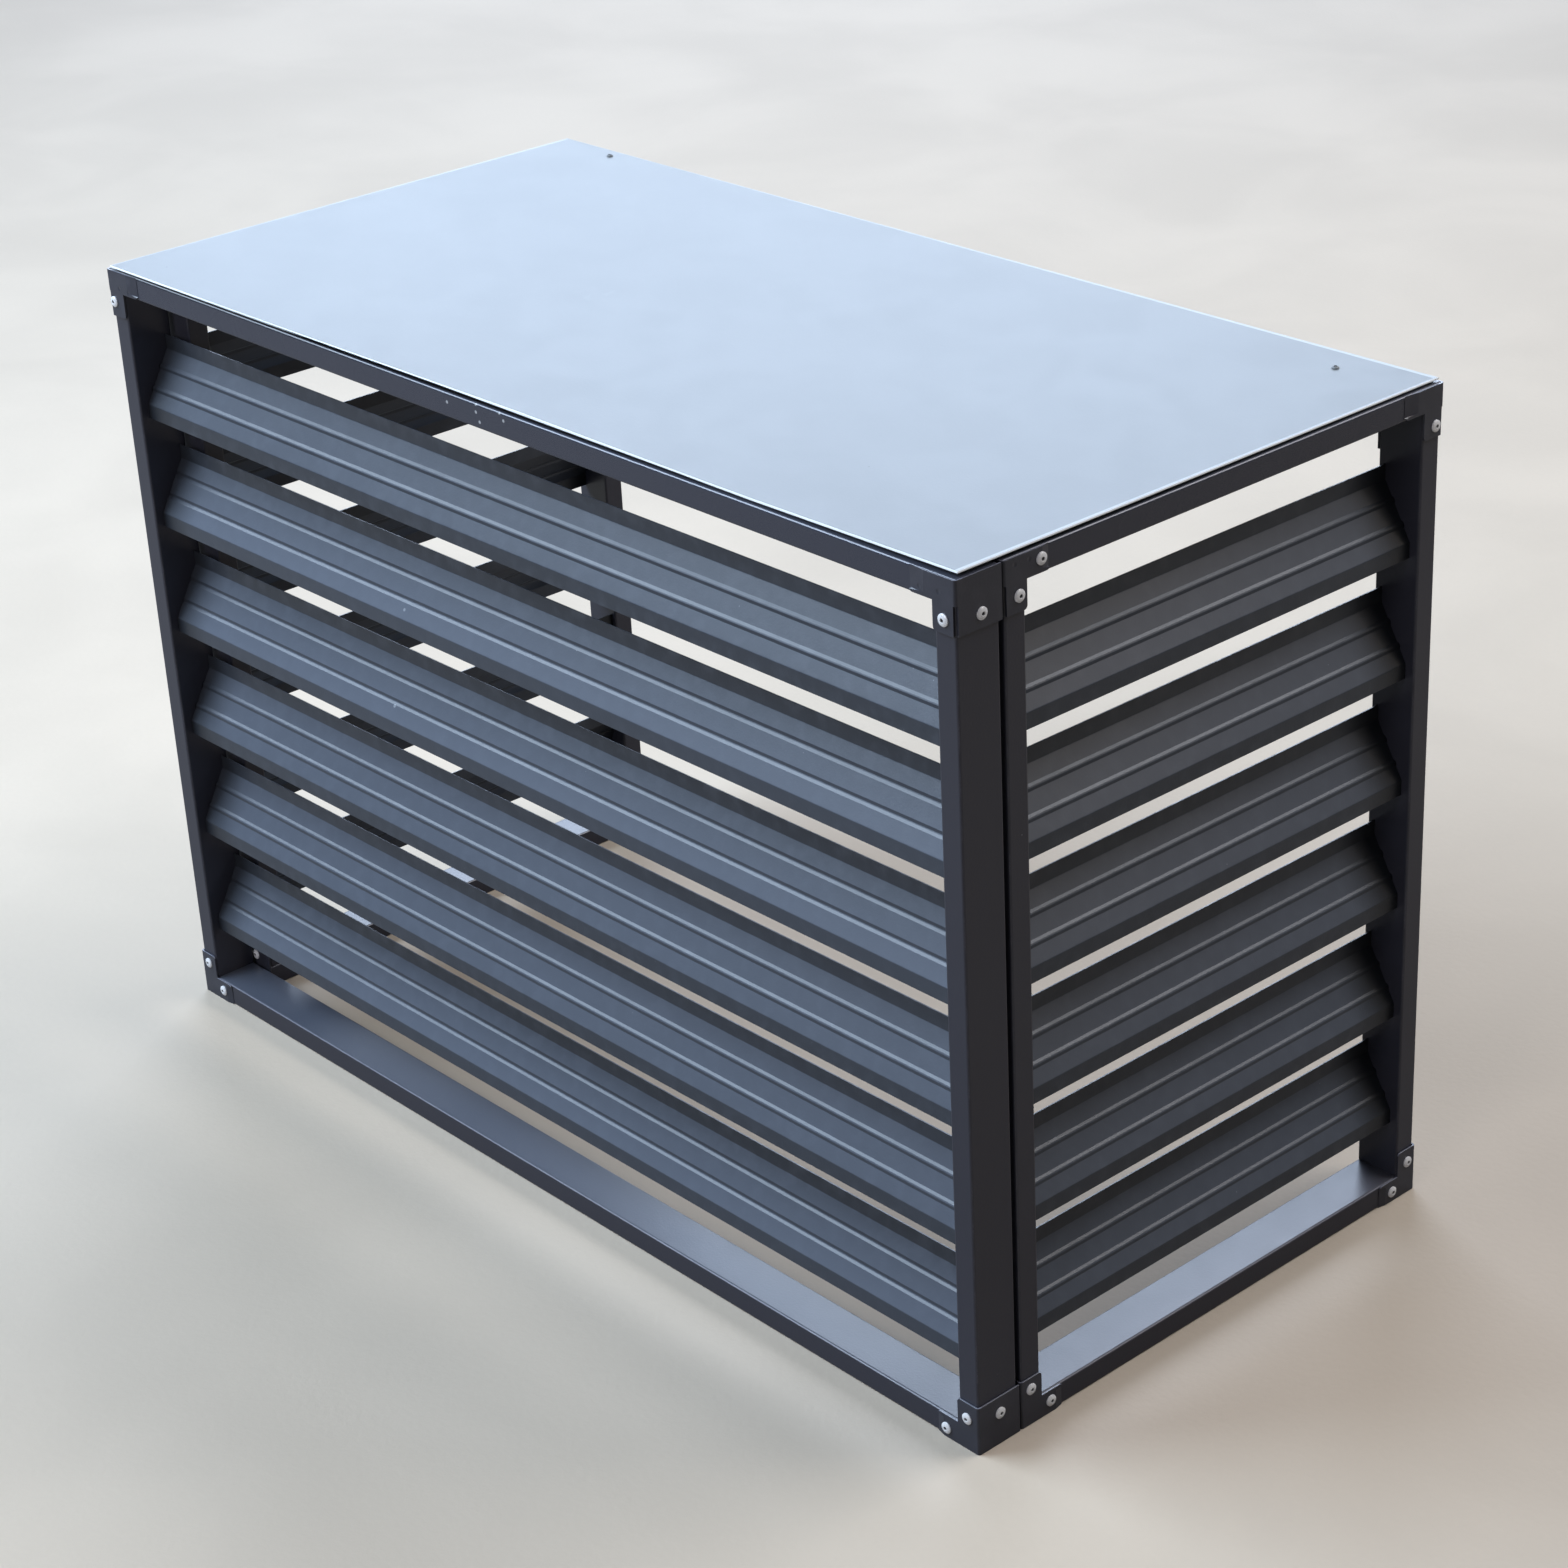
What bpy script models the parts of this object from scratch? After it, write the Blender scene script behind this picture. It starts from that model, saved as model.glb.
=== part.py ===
"""Louvred screen that stands round an outdoor air conditioner unit.

Three louvred panels of rectangular tube stand round the unit: a front panel and two side
panels behind its ends. A flat top plate lies on them, and the back and the underside are open.
Lengths are in metres. X runs along the front, Y from the front to the back, Z up, and the
origin is on the ground under the middle of the frame.
"""

import math

import bmesh
import bpy
from mathutils import Matrix, Vector

# Overall frame, measured over the tubes
FRAME_WIDTH = 1.020
FRAME_DEPTH = 0.500
FRAME_HEIGHT = 0.700

# Rectangular tube of the posts and rails
TUBE_BREADTH = 0.040
TUBE_FACE = 0.020
TUBE_WALL = 0.0015
TUBE_CORNER_RADIUS = 0.0018
TUBE_CORNER_STEPS = 3

# Fits
CLEARANCE = 0.0003
PANEL_GAP = 0.0046
CUT_OVERRUN = 0.002

# Slat, a pressed strip with a Z section
SLAT_COUNT = 6
SLAT_THICKNESS = 0.0010
SLAT_HEIGHT = 0.069
SLAT_DEPTH = 0.026
SLAT_LEG = 0.0125
SLAT_BEND_RADIUS = 0.0022
SLAT_BEND_STEPS = 2
SLAT_TONGUE = 0.008
SLAT_SETBACK = 0.0085
SLAT_MARGIN_BELOW = 0.048
FRONT_SLAT_MARGIN_ABOVE = 0.044
SIDE_SLAT_MARGIN_ABOVE = 0.048
RIB_PLACE_SHARES = (0.32, 0.71)
RIB_WIDTH = 0.0060
RIB_CREST = 0.0018
RIB_HEIGHT = 0.0014
TURNED_FRONT_SLATS = (2, 3, 6)

# Corner bracket, an L plate whose flange wraps round the end of the panel
BRACKET_THICKNESS = 0.0015
BRACKET_ARM_LENGTH = 0.042
BRACKET_ARM_WIDTH = 0.0202
BRACKET_REACH = 0.0412
BRACKET_END_RADIUS = 0.003
BRACKET_BEND_RADIUS = 0.001
BRACKET_BEND_STEPS = 3
ARC_STEPS = 4

# Top plate
PLATE_THICKNESS = 0.0015
PLATE_INSET = 0.0015
PLATE_TURN = math.radians(0.2)
PLATE_LIFT = 0.0017
PLATE_FLAT_SHARE = 0.21
PLATE_WAVE_SHARE = 0.58
PLATE_COLUMNS = 20
PLATE_ROWS = 5

# Cross rail at the back under the plate, and the angles that carry it
ANGLE_LEG = 0.038
ANGLE_WIDTH = 0.018
ANGLE_THICKNESS = 0.002
ANGLE_EDGE_MARGIN = 0.001

# Bolts that join the side panels to the front panel
BOLT_DIAMETER = 0.006
BOLT_HEAD_DIAMETER = 0.011
BOLT_HEAD_HEIGHT = 0.0036
BOLT_END_CHAMFER = 0.0008
BOLT_GRIP_IN_INSERT = 0.012
BOLT_SLAT_GAPS = (1, 5)

# Threaded inserts in the front panel's posts
INSERT_DIAMETER = 0.009
INSERT_LENGTH = 0.014
INSERT_FLANGE_DIAMETER = 0.0125
INSERT_FLANGE_THICKNESS = 0.0010

# Screws of the top plate
SCREW_DIAMETER = 0.0042
SCREW_HEAD_DIAMETER = 0.0078
SCREW_HEAD_HEIGHT = 0.0016
SCREW_LENGTH = 0.012
LEFT_SCREW_FROM_SIDE = 0.040
LEFT_SCREW_FROM_BACK = 0.0175
RIGHT_SCREW_FROM_SIDE = 0.032
RIGHT_SCREW_FROM_BACK = 0.034
SCREW_RIM_SHARE = 0.35

ROUND_STEPS = 16
SMOOTH_ANGLE = math.radians(35)

SIDE_PANEL_LENGTH = FRAME_DEPTH - TUBE_BREADTH - PANEL_GAP
RAIL_UNDERSIDE = FRAME_HEIGHT - TUBE_FACE
POST_FOOT = TUBE_FACE + CLEARANCE
FRONT_PANEL = "front_panel"
RIGHT_PANEL = "right_panel"
LEFT_PANEL = "left_panel"


def clear_scene():
    """Removes every object, so that the model starts from an empty scene."""
    for obj in list(bpy.data.objects):
        bpy.data.objects.remove(obj, do_unlink=True)


def coating(name, colour, roughness, metallic):
    """A Principled material for one kind of piece."""
    material = bpy.data.materials.new(name)
    material.use_nodes = True
    shader = material.node_tree.nodes["Principled BSDF"]
    shader.inputs["Base Color"].default_value = (*colour, 1)
    shader.inputs["Roughness"].default_value = roughness
    shader.inputs["Metallic"].default_value = metallic
    material.diffuse_color = (*colour, 1)
    return material


def make_materials():
    """The coatings and bare metals of the screen."""
    return {
        "frame": coating("frame_powder_coat", (0.030, 0.032, 0.041), 0.40, 0),
        "slat": coating("slat_powder_coat", (0.080, 0.096, 0.128), 0.40, 0),
        "plate": coating("plate_powder_coat", (0.31, 0.38, 0.48), 0.35, 0),
        "bracket": coating("bracket_powder_coat", (0.028, 0.030, 0.038), 0.40, 0),
        "steel": coating("zinc_plated_steel", (0.66, 0.67, 0.69), 0.30, 1),
    }


def add_object(name, mesh, material, parent=None, place=(0, 0, 0)):
    """Puts a mesh into the scene as one named piece."""
    obj = bpy.data.objects.new(name, mesh)
    bpy.context.scene.collection.objects.link(obj)
    if not mesh.materials:
        mesh.materials.append(material)
    obj.parent = parent
    obj.location = place
    return obj


def smooth_mesh(bm, name):
    """Turns a bmesh into a mesh with its bends shaded smooth."""
    mesh = bpy.data.meshes.new(name)
    bm.to_mesh(mesh)
    bm.free()
    mesh.shade_smooth()
    mesh.set_sharp_from_angle(angle=SMOOTH_ANGLE)
    return mesh


def finish_mesh(bm, name):
    """The mesh of a closed solid, its faces pointing out."""
    bmesh.ops.recalc_face_normals(bm, faces=bm.faces)
    return smooth_mesh(bm, name)


def rounded_rectangle(half_width, half_height, radius, steps):
    """Points round a rectangle with arcs at its corners, about the origin."""
    points = []
    for quarter in range(4):
        across = 1 if quarter in (0, 3) else -1
        up = 1 if quarter in (0, 1) else -1
        centre = Vector((across * (half_width - radius), up * (half_height - radius)))
        for step in range(steps + 1):
            angle = math.pi / 2 * (quarter + step / steps)
            points.append(centre + radius * Vector((math.cos(angle), math.sin(angle))))
    return points


def filleted(path, radius, steps):
    """The same open path with an arc of this radius at each inner corner."""
    points = [path[0]]
    for before, corner, after in zip(path, path[1:], path[2:]):
        into = (corner - before).normalized()
        out = (after - corner).normalized()
        turn = into.angle_signed(out)
        reach = radius * math.tan(abs(turn) / 2)
        side = -math.copysign(1, turn)
        centre = corner - reach * into + side * radius * Vector((-into.y, into.x))
        start = corner - reach * into - centre
        for step in range(steps + 1):
            angle = -turn * step / steps
            cosine, sine = math.cos(angle), math.sin(angle)
            arm = Vector((start.x * cosine - start.y * sine, start.x * sine + start.y * cosine))
            points.append(centre + arm)
    points.append(path[-1])
    return points


def strip_outline(path, thickness):
    """The closed outline of a sheet of this thickness whose middle line is the open path."""
    left, right = [], []
    for index, point in enumerate(path):
        normals = []
        if index > 0:
            along = (point - path[index - 1]).normalized()
            normals.append(Vector((-along.y, along.x)))
        if index < len(path) - 1:
            along = (path[index + 1] - point).normalized()
            normals.append(Vector((-along.y, along.x)))
        middle = sum(normals, Vector((0, 0))).normalized()
        offset = thickness / 2 / middle.dot(normals[0])
        left.append(point + offset * middle)
        right.append(point - offset * middle)
    return left + right[::-1]


def prism(bm, outline, place, start, end):
    """Adds a solid prism: place puts an outline point at a depth between start and end."""
    rings = []
    for depth in (start, end):
        rings.append([bm.verts.new(place(point, depth)) for point in outline])
    bm.faces.new(rings[0])
    bm.faces.new(rings[1][::-1])
    for index in range(len(outline)):
        following = (index + 1) % len(outline)
        bm.faces.new((rings[0][index], rings[0][following], rings[1][following], rings[1][index]))


def along_x(point, depth):
    """Outline coordinates are Y and Z, the run is along X."""
    return Vector((depth, point.x, point.y))


def tube_mesh(name, size_across, size_up, length, place):
    """A rectangular tube with open ends, its bore running the whole length."""
    outer = rounded_rectangle(size_across / 2, size_up / 2, TUBE_CORNER_RADIUS, TUBE_CORNER_STEPS)
    inner = rounded_rectangle(
        size_across / 2 - TUBE_WALL,
        size_up / 2 - TUBE_WALL,
        TUBE_CORNER_RADIUS - TUBE_WALL,
        TUBE_CORNER_STEPS,
    )
    bm = bmesh.new()
    rings = {}
    for kind, outline in (("outer", outer), ("inner", inner)):
        for end in (0, 1):
            rings[kind, end] = [bm.verts.new(place(point, end * length)) for point in outline]
    loops = [rings["outer", 0], rings["outer", 1], rings["inner", 1], rings["inner", 0]]
    for first, second in zip(loops, loops[1:] + loops[:1]):
        for index in range(len(first)):
            following = (index + 1) % len(first)
            bm.faces.new((first[index], first[following], second[following], second[index]))
    return finish_mesh(bm, name)


def post_mesh(name):
    """Upright tube between the rails, with its foot at the origin and its outer face at Y zero."""
    length = FRAME_HEIGHT - 2 * (TUBE_FACE + CLEARANCE)
    middle = Vector((TUBE_FACE / 2, TUBE_BREADTH / 2))

    def place(point, height):
        return Vector((middle.x + point.x, middle.y + point.y, height))

    return tube_mesh(name, TUBE_FACE, TUBE_BREADTH, length, place)


def rail_mesh(name, length):
    """Level tube along X, with its lower outer edge at the origin."""
    middle = Vector((TUBE_BREADTH / 2, TUBE_FACE / 2))

    def place(point, run):
        return along_x(middle + point, run)

    return tube_mesh(name, TUBE_BREADTH, TUBE_FACE, length, place)


def slat_path(extra=0.0):
    """Middle line of the slat's section about its own centre: leg, ribbed face, leg."""
    half_depth = (SLAT_DEPTH - SLAT_THICKNESS) / 2
    half_height = SLAT_HEIGHT / 2
    upper_bend = Vector((half_depth, half_height - SLAT_LEG))
    lower_bend = -upper_bend
    face = lower_bend - upper_bend
    along = face.normalized()
    outward = Vector((along.y, -along.x))
    if outward.x > 0:
        outward = -outward
    points = [Vector((half_depth, half_height + extra)), upper_bend]
    for share in RIB_PLACE_SHARES:
        middle = upper_bend + share * face
        crest = middle + RIB_HEIGHT * outward
        points.append(middle - RIB_WIDTH / 2 * along)
        points.append(crest - RIB_CREST / 2 * along)
        points.append(crest + RIB_CREST / 2 * along)
        points.append(middle + RIB_WIDTH / 2 * along)
    points += [lower_bend, Vector((-half_depth, -half_height - extra))]
    return bend_ends(points)


def bend_ends(points):
    """Rounds the slat's two long bends and leaves the ribs' small ones sharp."""
    upper = filleted(points[:3], SLAT_BEND_RADIUS, SLAT_BEND_STEPS)
    lower = filleted(points[-3:], SLAT_BEND_RADIUS, SLAT_BEND_STEPS)
    return upper[:-1] + points[2:-2] + lower[1:]


def slat_mesh(name, length):
    """One slat about the middle of its section, running from X zero."""
    bm = bmesh.new()
    prism(bm, strip_outline(slat_path(), SLAT_THICKNESS), along_x, 0, length)
    return finish_mesh(bm, name)


def slat_centres(margin_above):
    """Heights of the slats' middles, the top one first, spread evenly between the margins."""
    lowest = TUBE_FACE + SLAT_MARGIN_BELOW + SLAT_HEIGHT / 2
    highest = RAIL_UNDERSIDE - margin_above - SLAT_HEIGHT / 2
    pitch = (highest - lowest) / (SLAT_COUNT - 1)
    return [highest - pitch * index for index in range(SLAT_COUNT)]


def slat_middle_depth():
    """Depth of the slats' middle behind the panel's outer face."""
    return SLAT_SETBACK + SLAT_DEPTH / 2


def slot_cutter(name, wall_start, centres, turned):
    """Slat-shaped cutters for the wall of one post that faces the slats."""
    path = slat_path(extra=CLEARANCE)
    outline = strip_outline(path, SLAT_THICKNESS + 2 * CLEARANCE)
    bm = bmesh.new()
    start = wall_start - CUT_OVERRUN / 2
    end = wall_start + TUBE_WALL + CUT_OVERRUN / 2
    for number, height in enumerate(centres, 1):
        way = -1 if number in turned else 1
        centre = Vector((slat_middle_depth(), height - POST_FOOT))
        prism(bm, [centre + way * point for point in outline], along_x, start, end)
    return helper(name, finish_mesh(bm, name))


def helper(name, mesh):
    """An object that only cuts others, left out of renders."""
    obj = bpy.data.objects.new(name, mesh)
    bpy.context.scene.collection.objects.link(obj)
    obj.hide_render = True
    obj.display_type = "WIRE"
    return obj


def cut(obj, cutter):
    """Takes the cutter's shape out of the object. The cutter moves with it."""
    cutter.parent = obj
    modifier = obj.modifiers.new(cutter.name, "BOOLEAN")
    modifier.operation = "DIFFERENCE"
    modifier.solver = "EXACT"
    modifier.object = cutter


def panel_base(name, place, turn):
    """The empty that carries one panel: its X runs along the panel, its Y points inwards."""
    base = bpy.data.objects.new(name, None)
    bpy.context.scene.collection.objects.link(base)
    base.matrix_world = Matrix.Translation(place) @ Matrix.Rotation(turn, 4, "Z")
    return base


def build_frame(base, prefix, length, post_names, centres, turned, materials):
    """Two posts with slots for the slats between two rails."""
    bottom = add_object(
        prefix + "_bottom_rail",
        rail_mesh(prefix + "_rail", length),
        materials["frame"],
        base,
    )
    add_object(
        prefix + "_top_rail",
        bottom.data,
        materials["frame"],
        base,
        (0, 0, RAIL_UNDERSIDE),
    )
    posts = []
    for side, post_name in enumerate(post_names):
        name = prefix + "_" + post_name
        run = side * (length - TUBE_FACE)
        post = add_object(name, post_mesh(name), materials["frame"], base, (run, 0, POST_FOOT))
        wall_start = 0 if side else TUBE_FACE - TUBE_WALL
        cut(post, slot_cutter(name + "_slots", wall_start, centres, turned))
        posts.append(post)
    return posts


def build_slats(base, prefix, length, centres, turned, materials):
    """The slats, whose ends stand in the posts' slots. The turned ones show grooves outside."""
    reach = length - 2 * TUBE_FACE + 2 * SLAT_TONGUE
    mesh = slat_mesh(prefix + "_slat", reach)
    for number, height in enumerate(centres, 1):
        place = (TUBE_FACE - SLAT_TONGUE, slat_middle_depth(), height)
        name = f"{prefix}_slat_{number}"
        slat = add_object(name, mesh, materials["slat"], base, place)
        if number in turned:
            slat.rotation_euler = (math.pi, 0, 0)


def bracket_corner(start, corner, end, radius):
    """An arc that rounds a corner of the bracket's outline."""
    into = (start - corner).normalized()
    out = (end - corner).normalized()
    centre = corner + radius * (into + out)
    points = []
    for step in range(ARC_STEPS + 1):
        angle = math.pi / 2 * step / ARC_STEPS
        points.append(centre - radius * (math.sin(angle) * into + math.cos(angle) * out))
    return points


def bracket_front_outline(bend_start):
    """The L of the front plate seen from outside, from its outer lower corner round."""
    long = BRACKET_ARM_LENGTH
    wide = BRACKET_ARM_WIDTH
    end_low = Vector((long, 0))
    end_high = Vector((long, wide))
    inner = Vector((wide, wide))
    top_in = Vector((wide, long))
    top_out = Vector((bend_start, long))
    outline = [Vector((bend_start, 0)), end_low]
    outline += bracket_corner(end_low, end_high, inner, BRACKET_END_RADIUS)
    outline.append(inner)
    outline += bracket_corner(inner, top_in, top_out, BRACKET_END_RADIUS)
    outline.append(top_out)
    return outline


def bracket_mesh(name, flip_x, flip_z, slit):
    """Folded sheet: the face that lies towards the tube, which a Solidify then thickens.

    With a slit, the fold joins plate and flange only beside the rail, and the rest of the
    corner line stays open.
    """
    radius = BRACKET_BEND_RADIUS
    bend_start = radius - CLEARANCE
    bend_centre = Vector((bend_start, bend_start))
    heights = [0, TUBE_FACE, BRACKET_ARM_LENGTH] if slit else [0, BRACKET_ARM_LENGTH]
    plan = []
    for step in range(BRACKET_BEND_STEPS + 1):
        angle = math.pi / 2 * step / BRACKET_BEND_STEPS
        plan.append(bend_centre - radius * Vector((math.sin(angle), math.cos(angle))))
    plan.append(Vector((-CLEARANCE, BRACKET_REACH)))
    bm = bmesh.new()

    def spot(across, inward, up):
        x = -across if flip_x else across
        z = -up if flip_z else up
        return bm.verts.new((x, inward, z))

    columns = [[spot(point.x, point.y, height) for height in heights] for point in plan]
    front = list(columns[0][::-1])
    for point in bracket_front_outline(bend_start)[1:-1]:
        front.append(spot(point.x, -CLEARANCE, point.y))
    bm.faces.new(front)
    last = len(columns) - 2
    for index in range(len(columns) - 1):
        for row in range(len(heights) - 1):
            if slit and row == 1 and index < last:
                continue
            near, far = columns[index], columns[index + 1]
            bm.faces.new((near[row], far[row], far[row + 1], near[row + 1]))
    loose = [vert for vert in bm.verts if not vert.link_faces]
    bmesh.ops.delete(bm, geom=loose, context="VERTS")
    bmesh.ops.recalc_face_normals(bm, faces=bm.faces)
    outside = max(bm.faces, key=lambda face: len(face.verts))
    outside.normal_update()
    if outside.normal.y > 0:
        bmesh.ops.reverse_faces(bm, faces=bm.faces)
    return smooth_mesh(bm, name)


def build_brackets(base, prefix, length, end_names, materials):
    """A bracket over each of the panel's four corners."""
    for level, height in (("bottom", 0), ("top", FRAME_HEIGHT)):
        for side, end_name in enumerate(end_names):
            name = f"{prefix}_{level}_{end_name}_bracket"
            top = level == "top"
            mesh = bracket_mesh(name, side == 1, top, top)
            place = (side * length, 0, height)
            bracket = add_object(name, mesh, materials["bracket"], base, place)
            sheet = bracket.modifiers.new("sheet", "SOLIDIFY")
            sheet.thickness = BRACKET_THICKNESS
            sheet.offset = 1
            sheet.use_even_offset = True


def build_panel(prefix, place, turn, length, end_names, centres, turned, materials):
    """One louvred panel on its own base."""
    base = panel_base(prefix, place, turn)
    post_names = [end_name + "_post" for end_name in end_names]
    posts = build_frame(base, prefix, length, post_names, centres, turned, materials)
    build_slats(base, prefix, length, centres, turned, materials)
    build_brackets(base, prefix, length, end_names, materials)
    return posts


def turned_piece(name, profile):
    """A solid of revolution about Y from (radius, along) points, closed on the axis or in a ring."""
    bm = bmesh.new()
    rings = []
    for radius, along in profile:
        if radius == 0:
            rings.append([bm.verts.new((0, along, 0))])
            continue
        ring = []
        for step in range(ROUND_STEPS):
            angle = math.tau * step / ROUND_STEPS
            ring.append(bm.verts.new((radius * math.cos(angle), along, radius * math.sin(angle))))
        rings.append(ring)
    pairs = list(zip(rings, rings[1:]))
    if profile[0][0] > 0:
        pairs.append((rings[-1], rings[0]))
    for first, second in pairs:
        for index in range(ROUND_STEPS):
            following = (index + 1) % ROUND_STEPS
            corners = [first[index % len(first)], first[following % len(first)]]
            corners += [second[following % len(second)], second[index % len(second)]]
            bm.faces.new(list(dict.fromkeys(corners)))
    return finish_mesh(bm, name)


def bolt_heights():
    """Heights of the joining bolts, in the middle of the gaps between the side panels' slats."""
    centres = slat_centres(SIDE_SLAT_MARGIN_ABOVE)
    return [(centres[gap - 1] + centres[gap]) / 2 for gap in BOLT_SLAT_GAPS]


def joint_plane():
    """Y of the front panel's rear face."""
    return TUBE_BREADTH - FRAME_DEPTH / 2


def bolt_mesh():
    """Pan-head bolt along Y: the shank starts at Y zero under the head and runs to the front."""
    head = BOLT_HEAD_DIAMETER / 2
    shank = BOLT_DIAMETER / 2
    length = TUBE_FACE + PANEL_GAP + BOLT_GRIP_IN_INSERT
    return turned_piece(
        "joining_bolt",
        [
            (0, BOLT_HEAD_HEIGHT),
            (head - BOLT_END_CHAMFER, BOLT_HEAD_HEIGHT),
            (head, BOLT_HEAD_HEIGHT - BOLT_END_CHAMFER),
            (head, 0),
            (shank, 0),
            (shank, BOLT_END_CHAMFER - length),
            (shank - BOLT_END_CHAMFER, -length),
            (0, -length),
        ],
    )


def insert_mesh():
    """Threaded insert: a sleeve in the post's rear wall, its flange outside the wall."""
    bore = BOLT_DIAMETER / 2 + CLEARANCE
    sleeve = INSERT_DIAMETER / 2
    flange = INSERT_FLANGE_DIAMETER / 2
    return turned_piece(
        "threaded_insert",
        [
            (bore, INSERT_FLANGE_THICKNESS),
            (flange, INSERT_FLANGE_THICKNESS),
            (flange, 0),
            (sleeve, 0),
            (sleeve, -INSERT_LENGTH),
            (bore, -INSERT_LENGTH),
        ],
    )


def hole_cutter(name, diameter, length, centres, axis):
    """Round cutters about these centres, along the Z axis or, where axis says so, X or Y."""
    turns = {"X": ("Y", math.pi / 2), "Y": ("X", math.pi / 2), "Z": ("Z", 0)}
    about, angle = turns[axis]
    radius = diameter / 2 + CLEARANCE
    bm = bmesh.new()
    for centre in centres:
        bmesh.ops.create_cone(
            bm,
            cap_ends=True,
            segments=ROUND_STEPS,
            radius1=radius,
            radius2=radius,
            depth=length,
            matrix=Matrix.Translation(centre) @ Matrix.Rotation(angle, 4, about),
        )
    return helper(name, finish_mesh(bm, name))


def insert_holes(name):
    """Cutters for the inserts, through the rear wall of one of the front panel's posts."""
    wall = TUBE_BREADTH - TUBE_WALL / 2
    centres = [(TUBE_FACE / 2, wall, height - POST_FOOT) for height in bolt_heights()]
    return hole_cutter(name, INSERT_DIAMETER, TUBE_WALL + CUT_OVERRUN, centres, "Y")


def bolt_holes(name):
    """Cutters for the bolts, through both walls of a side panel's front post."""
    middle = TUBE_FACE / 2
    centres = [(middle, middle, height - POST_FOOT) for height in bolt_heights()]
    return hole_cutter(name, BOLT_DIAMETER, TUBE_FACE + CUT_OVERRUN, centres, "X")


def build_joining_bolts(front_posts, side_posts, materials):
    """Bolts through the side panels' front posts into inserts in the front panel's posts."""
    bolt = bolt_mesh()
    insert = insert_mesh()
    head_seat = joint_plane() + PANEL_GAP + TUBE_FACE + CLEARANCE
    flange_seat = joint_plane() + CLEARANCE
    across = FRAME_WIDTH / 2 - TUBE_FACE / 2
    for word, way, front_post, side_post in zip(("left", "right"), (-1, 1), front_posts, side_posts):
        for level, height in zip(("upper", "lower"), bolt_heights()):
            bolt_place = (way * across, head_seat, height)
            insert_place = (way * across, flange_seat, height)
            prefix = f"{word}_{level}"
            add_object(prefix + "_joining_bolt", bolt, materials["steel"], None, bolt_place)
            add_object(prefix + "_threaded_insert", insert, materials["steel"], None, insert_place)
        cut(front_post, insert_holes(f"{word}_insert_holes"))
        cut(side_post, bolt_holes(f"{word}_bolt_holes"))


def plate_height(share_across, share_back):
    """Underside of the plate. It waves along the front and lies flat at the left and the back."""
    waves = max(0, share_across - PLATE_FLAT_SHARE) / PLATE_WAVE_SHARE
    rise = PLATE_LIFT * math.sin(math.pi * waves) ** 2 * (1 - share_back)
    return FRAME_HEIGHT + CLEARANCE + rise


def plate_point(share_across, share_back):
    """A point of the plate's underside. The plate lies slightly turned on the frame."""
    x = (FRAME_WIDTH - 2 * PLATE_INSET) * (share_across - 1 / 2)
    y = (FRAME_DEPTH - 2 * PLATE_INSET) * (share_back - 1 / 2)
    flat = Vector((x, y, plate_height(share_across, share_back)))
    return Matrix.Rotation(PLATE_TURN, 3, "Z") @ flat


def build_plate(materials):
    """The top plate, a thin sheet that waves a little between its rear screws and the front."""
    bm = bmesh.new()
    grid = []
    for row in range(PLATE_ROWS + 1):
        share_back = row / PLATE_ROWS
        line = []
        for column in range(PLATE_COLUMNS + 1):
            share_across = column / PLATE_COLUMNS
            line.append(bm.verts.new(plate_point(share_across, share_back)))
        grid.append(line)
    for row in range(PLATE_ROWS):
        for column in range(PLATE_COLUMNS):
            near, far = grid[row], grid[row + 1]
            bm.faces.new((near[column], near[column + 1], far[column + 1], far[column]))
    plate = add_object("top_plate", smooth_mesh(bm, "top_plate"), materials["plate"])
    sheet = plate.modifiers.new("sheet", "SOLIDIFY")
    sheet.thickness = PLATE_THICKNESS
    sheet.offset = 1
    cut(plate, screw_holes("plate_holes", plate_height(1 / 2, 1), PLATE_THICKNESS))


def screw_places():
    """X and Y of the plate's two screws. They stand unevenly, both over the cross rail."""
    inner = FRAME_WIDTH / 2 - TUBE_BREADTH
    back = FRAME_DEPTH / 2
    return (
        ("left", LEFT_SCREW_FROM_SIDE - inner, back - LEFT_SCREW_FROM_BACK),
        ("right", inner - RIGHT_SCREW_FROM_SIDE, back - RIGHT_SCREW_FROM_BACK),
    )


def screw_holes(name, height, wall):
    """Upright cutters for the plate's screws, through a wall that has one face at this height."""
    centres = [(across, back, height) for _, across, back in screw_places()]
    return hole_cutter(name, SCREW_DIAMETER, 2 * (wall + CUT_OVERRUN), centres, "Z")


def build_screws(materials):
    """The two flat screws of the plate, heads on top of it."""
    rim = SCREW_HEAD_DIAMETER / 2
    shank = SCREW_DIAMETER / 2
    mesh = turned_piece(
        "plate_screw",
        [
            (0, SCREW_HEAD_HEIGHT),
            (rim / 2, SCREW_HEAD_HEIGHT),
            (rim, SCREW_HEAD_HEIGHT * SCREW_RIM_SHARE),
            (rim, 0),
            (shank, 0),
            (shank, -SCREW_LENGTH),
            (0, -SCREW_LENGTH - shank),
        ],
    )
    for word, across, back in screw_places():
        share = across / (FRAME_WIDTH - 2 * PLATE_INSET) + 1 / 2
        share_back = back / (FRAME_DEPTH - 2 * PLATE_INSET) + 1 / 2
        seat = plate_height(share, share_back) + PLATE_THICKNESS + CLEARANCE
        screw = add_object(f"{word}_plate_screw", mesh, materials["plate"], None, (across, back, seat))
        screw.rotation_euler = (math.pi / 2, 0, 0)


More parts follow.
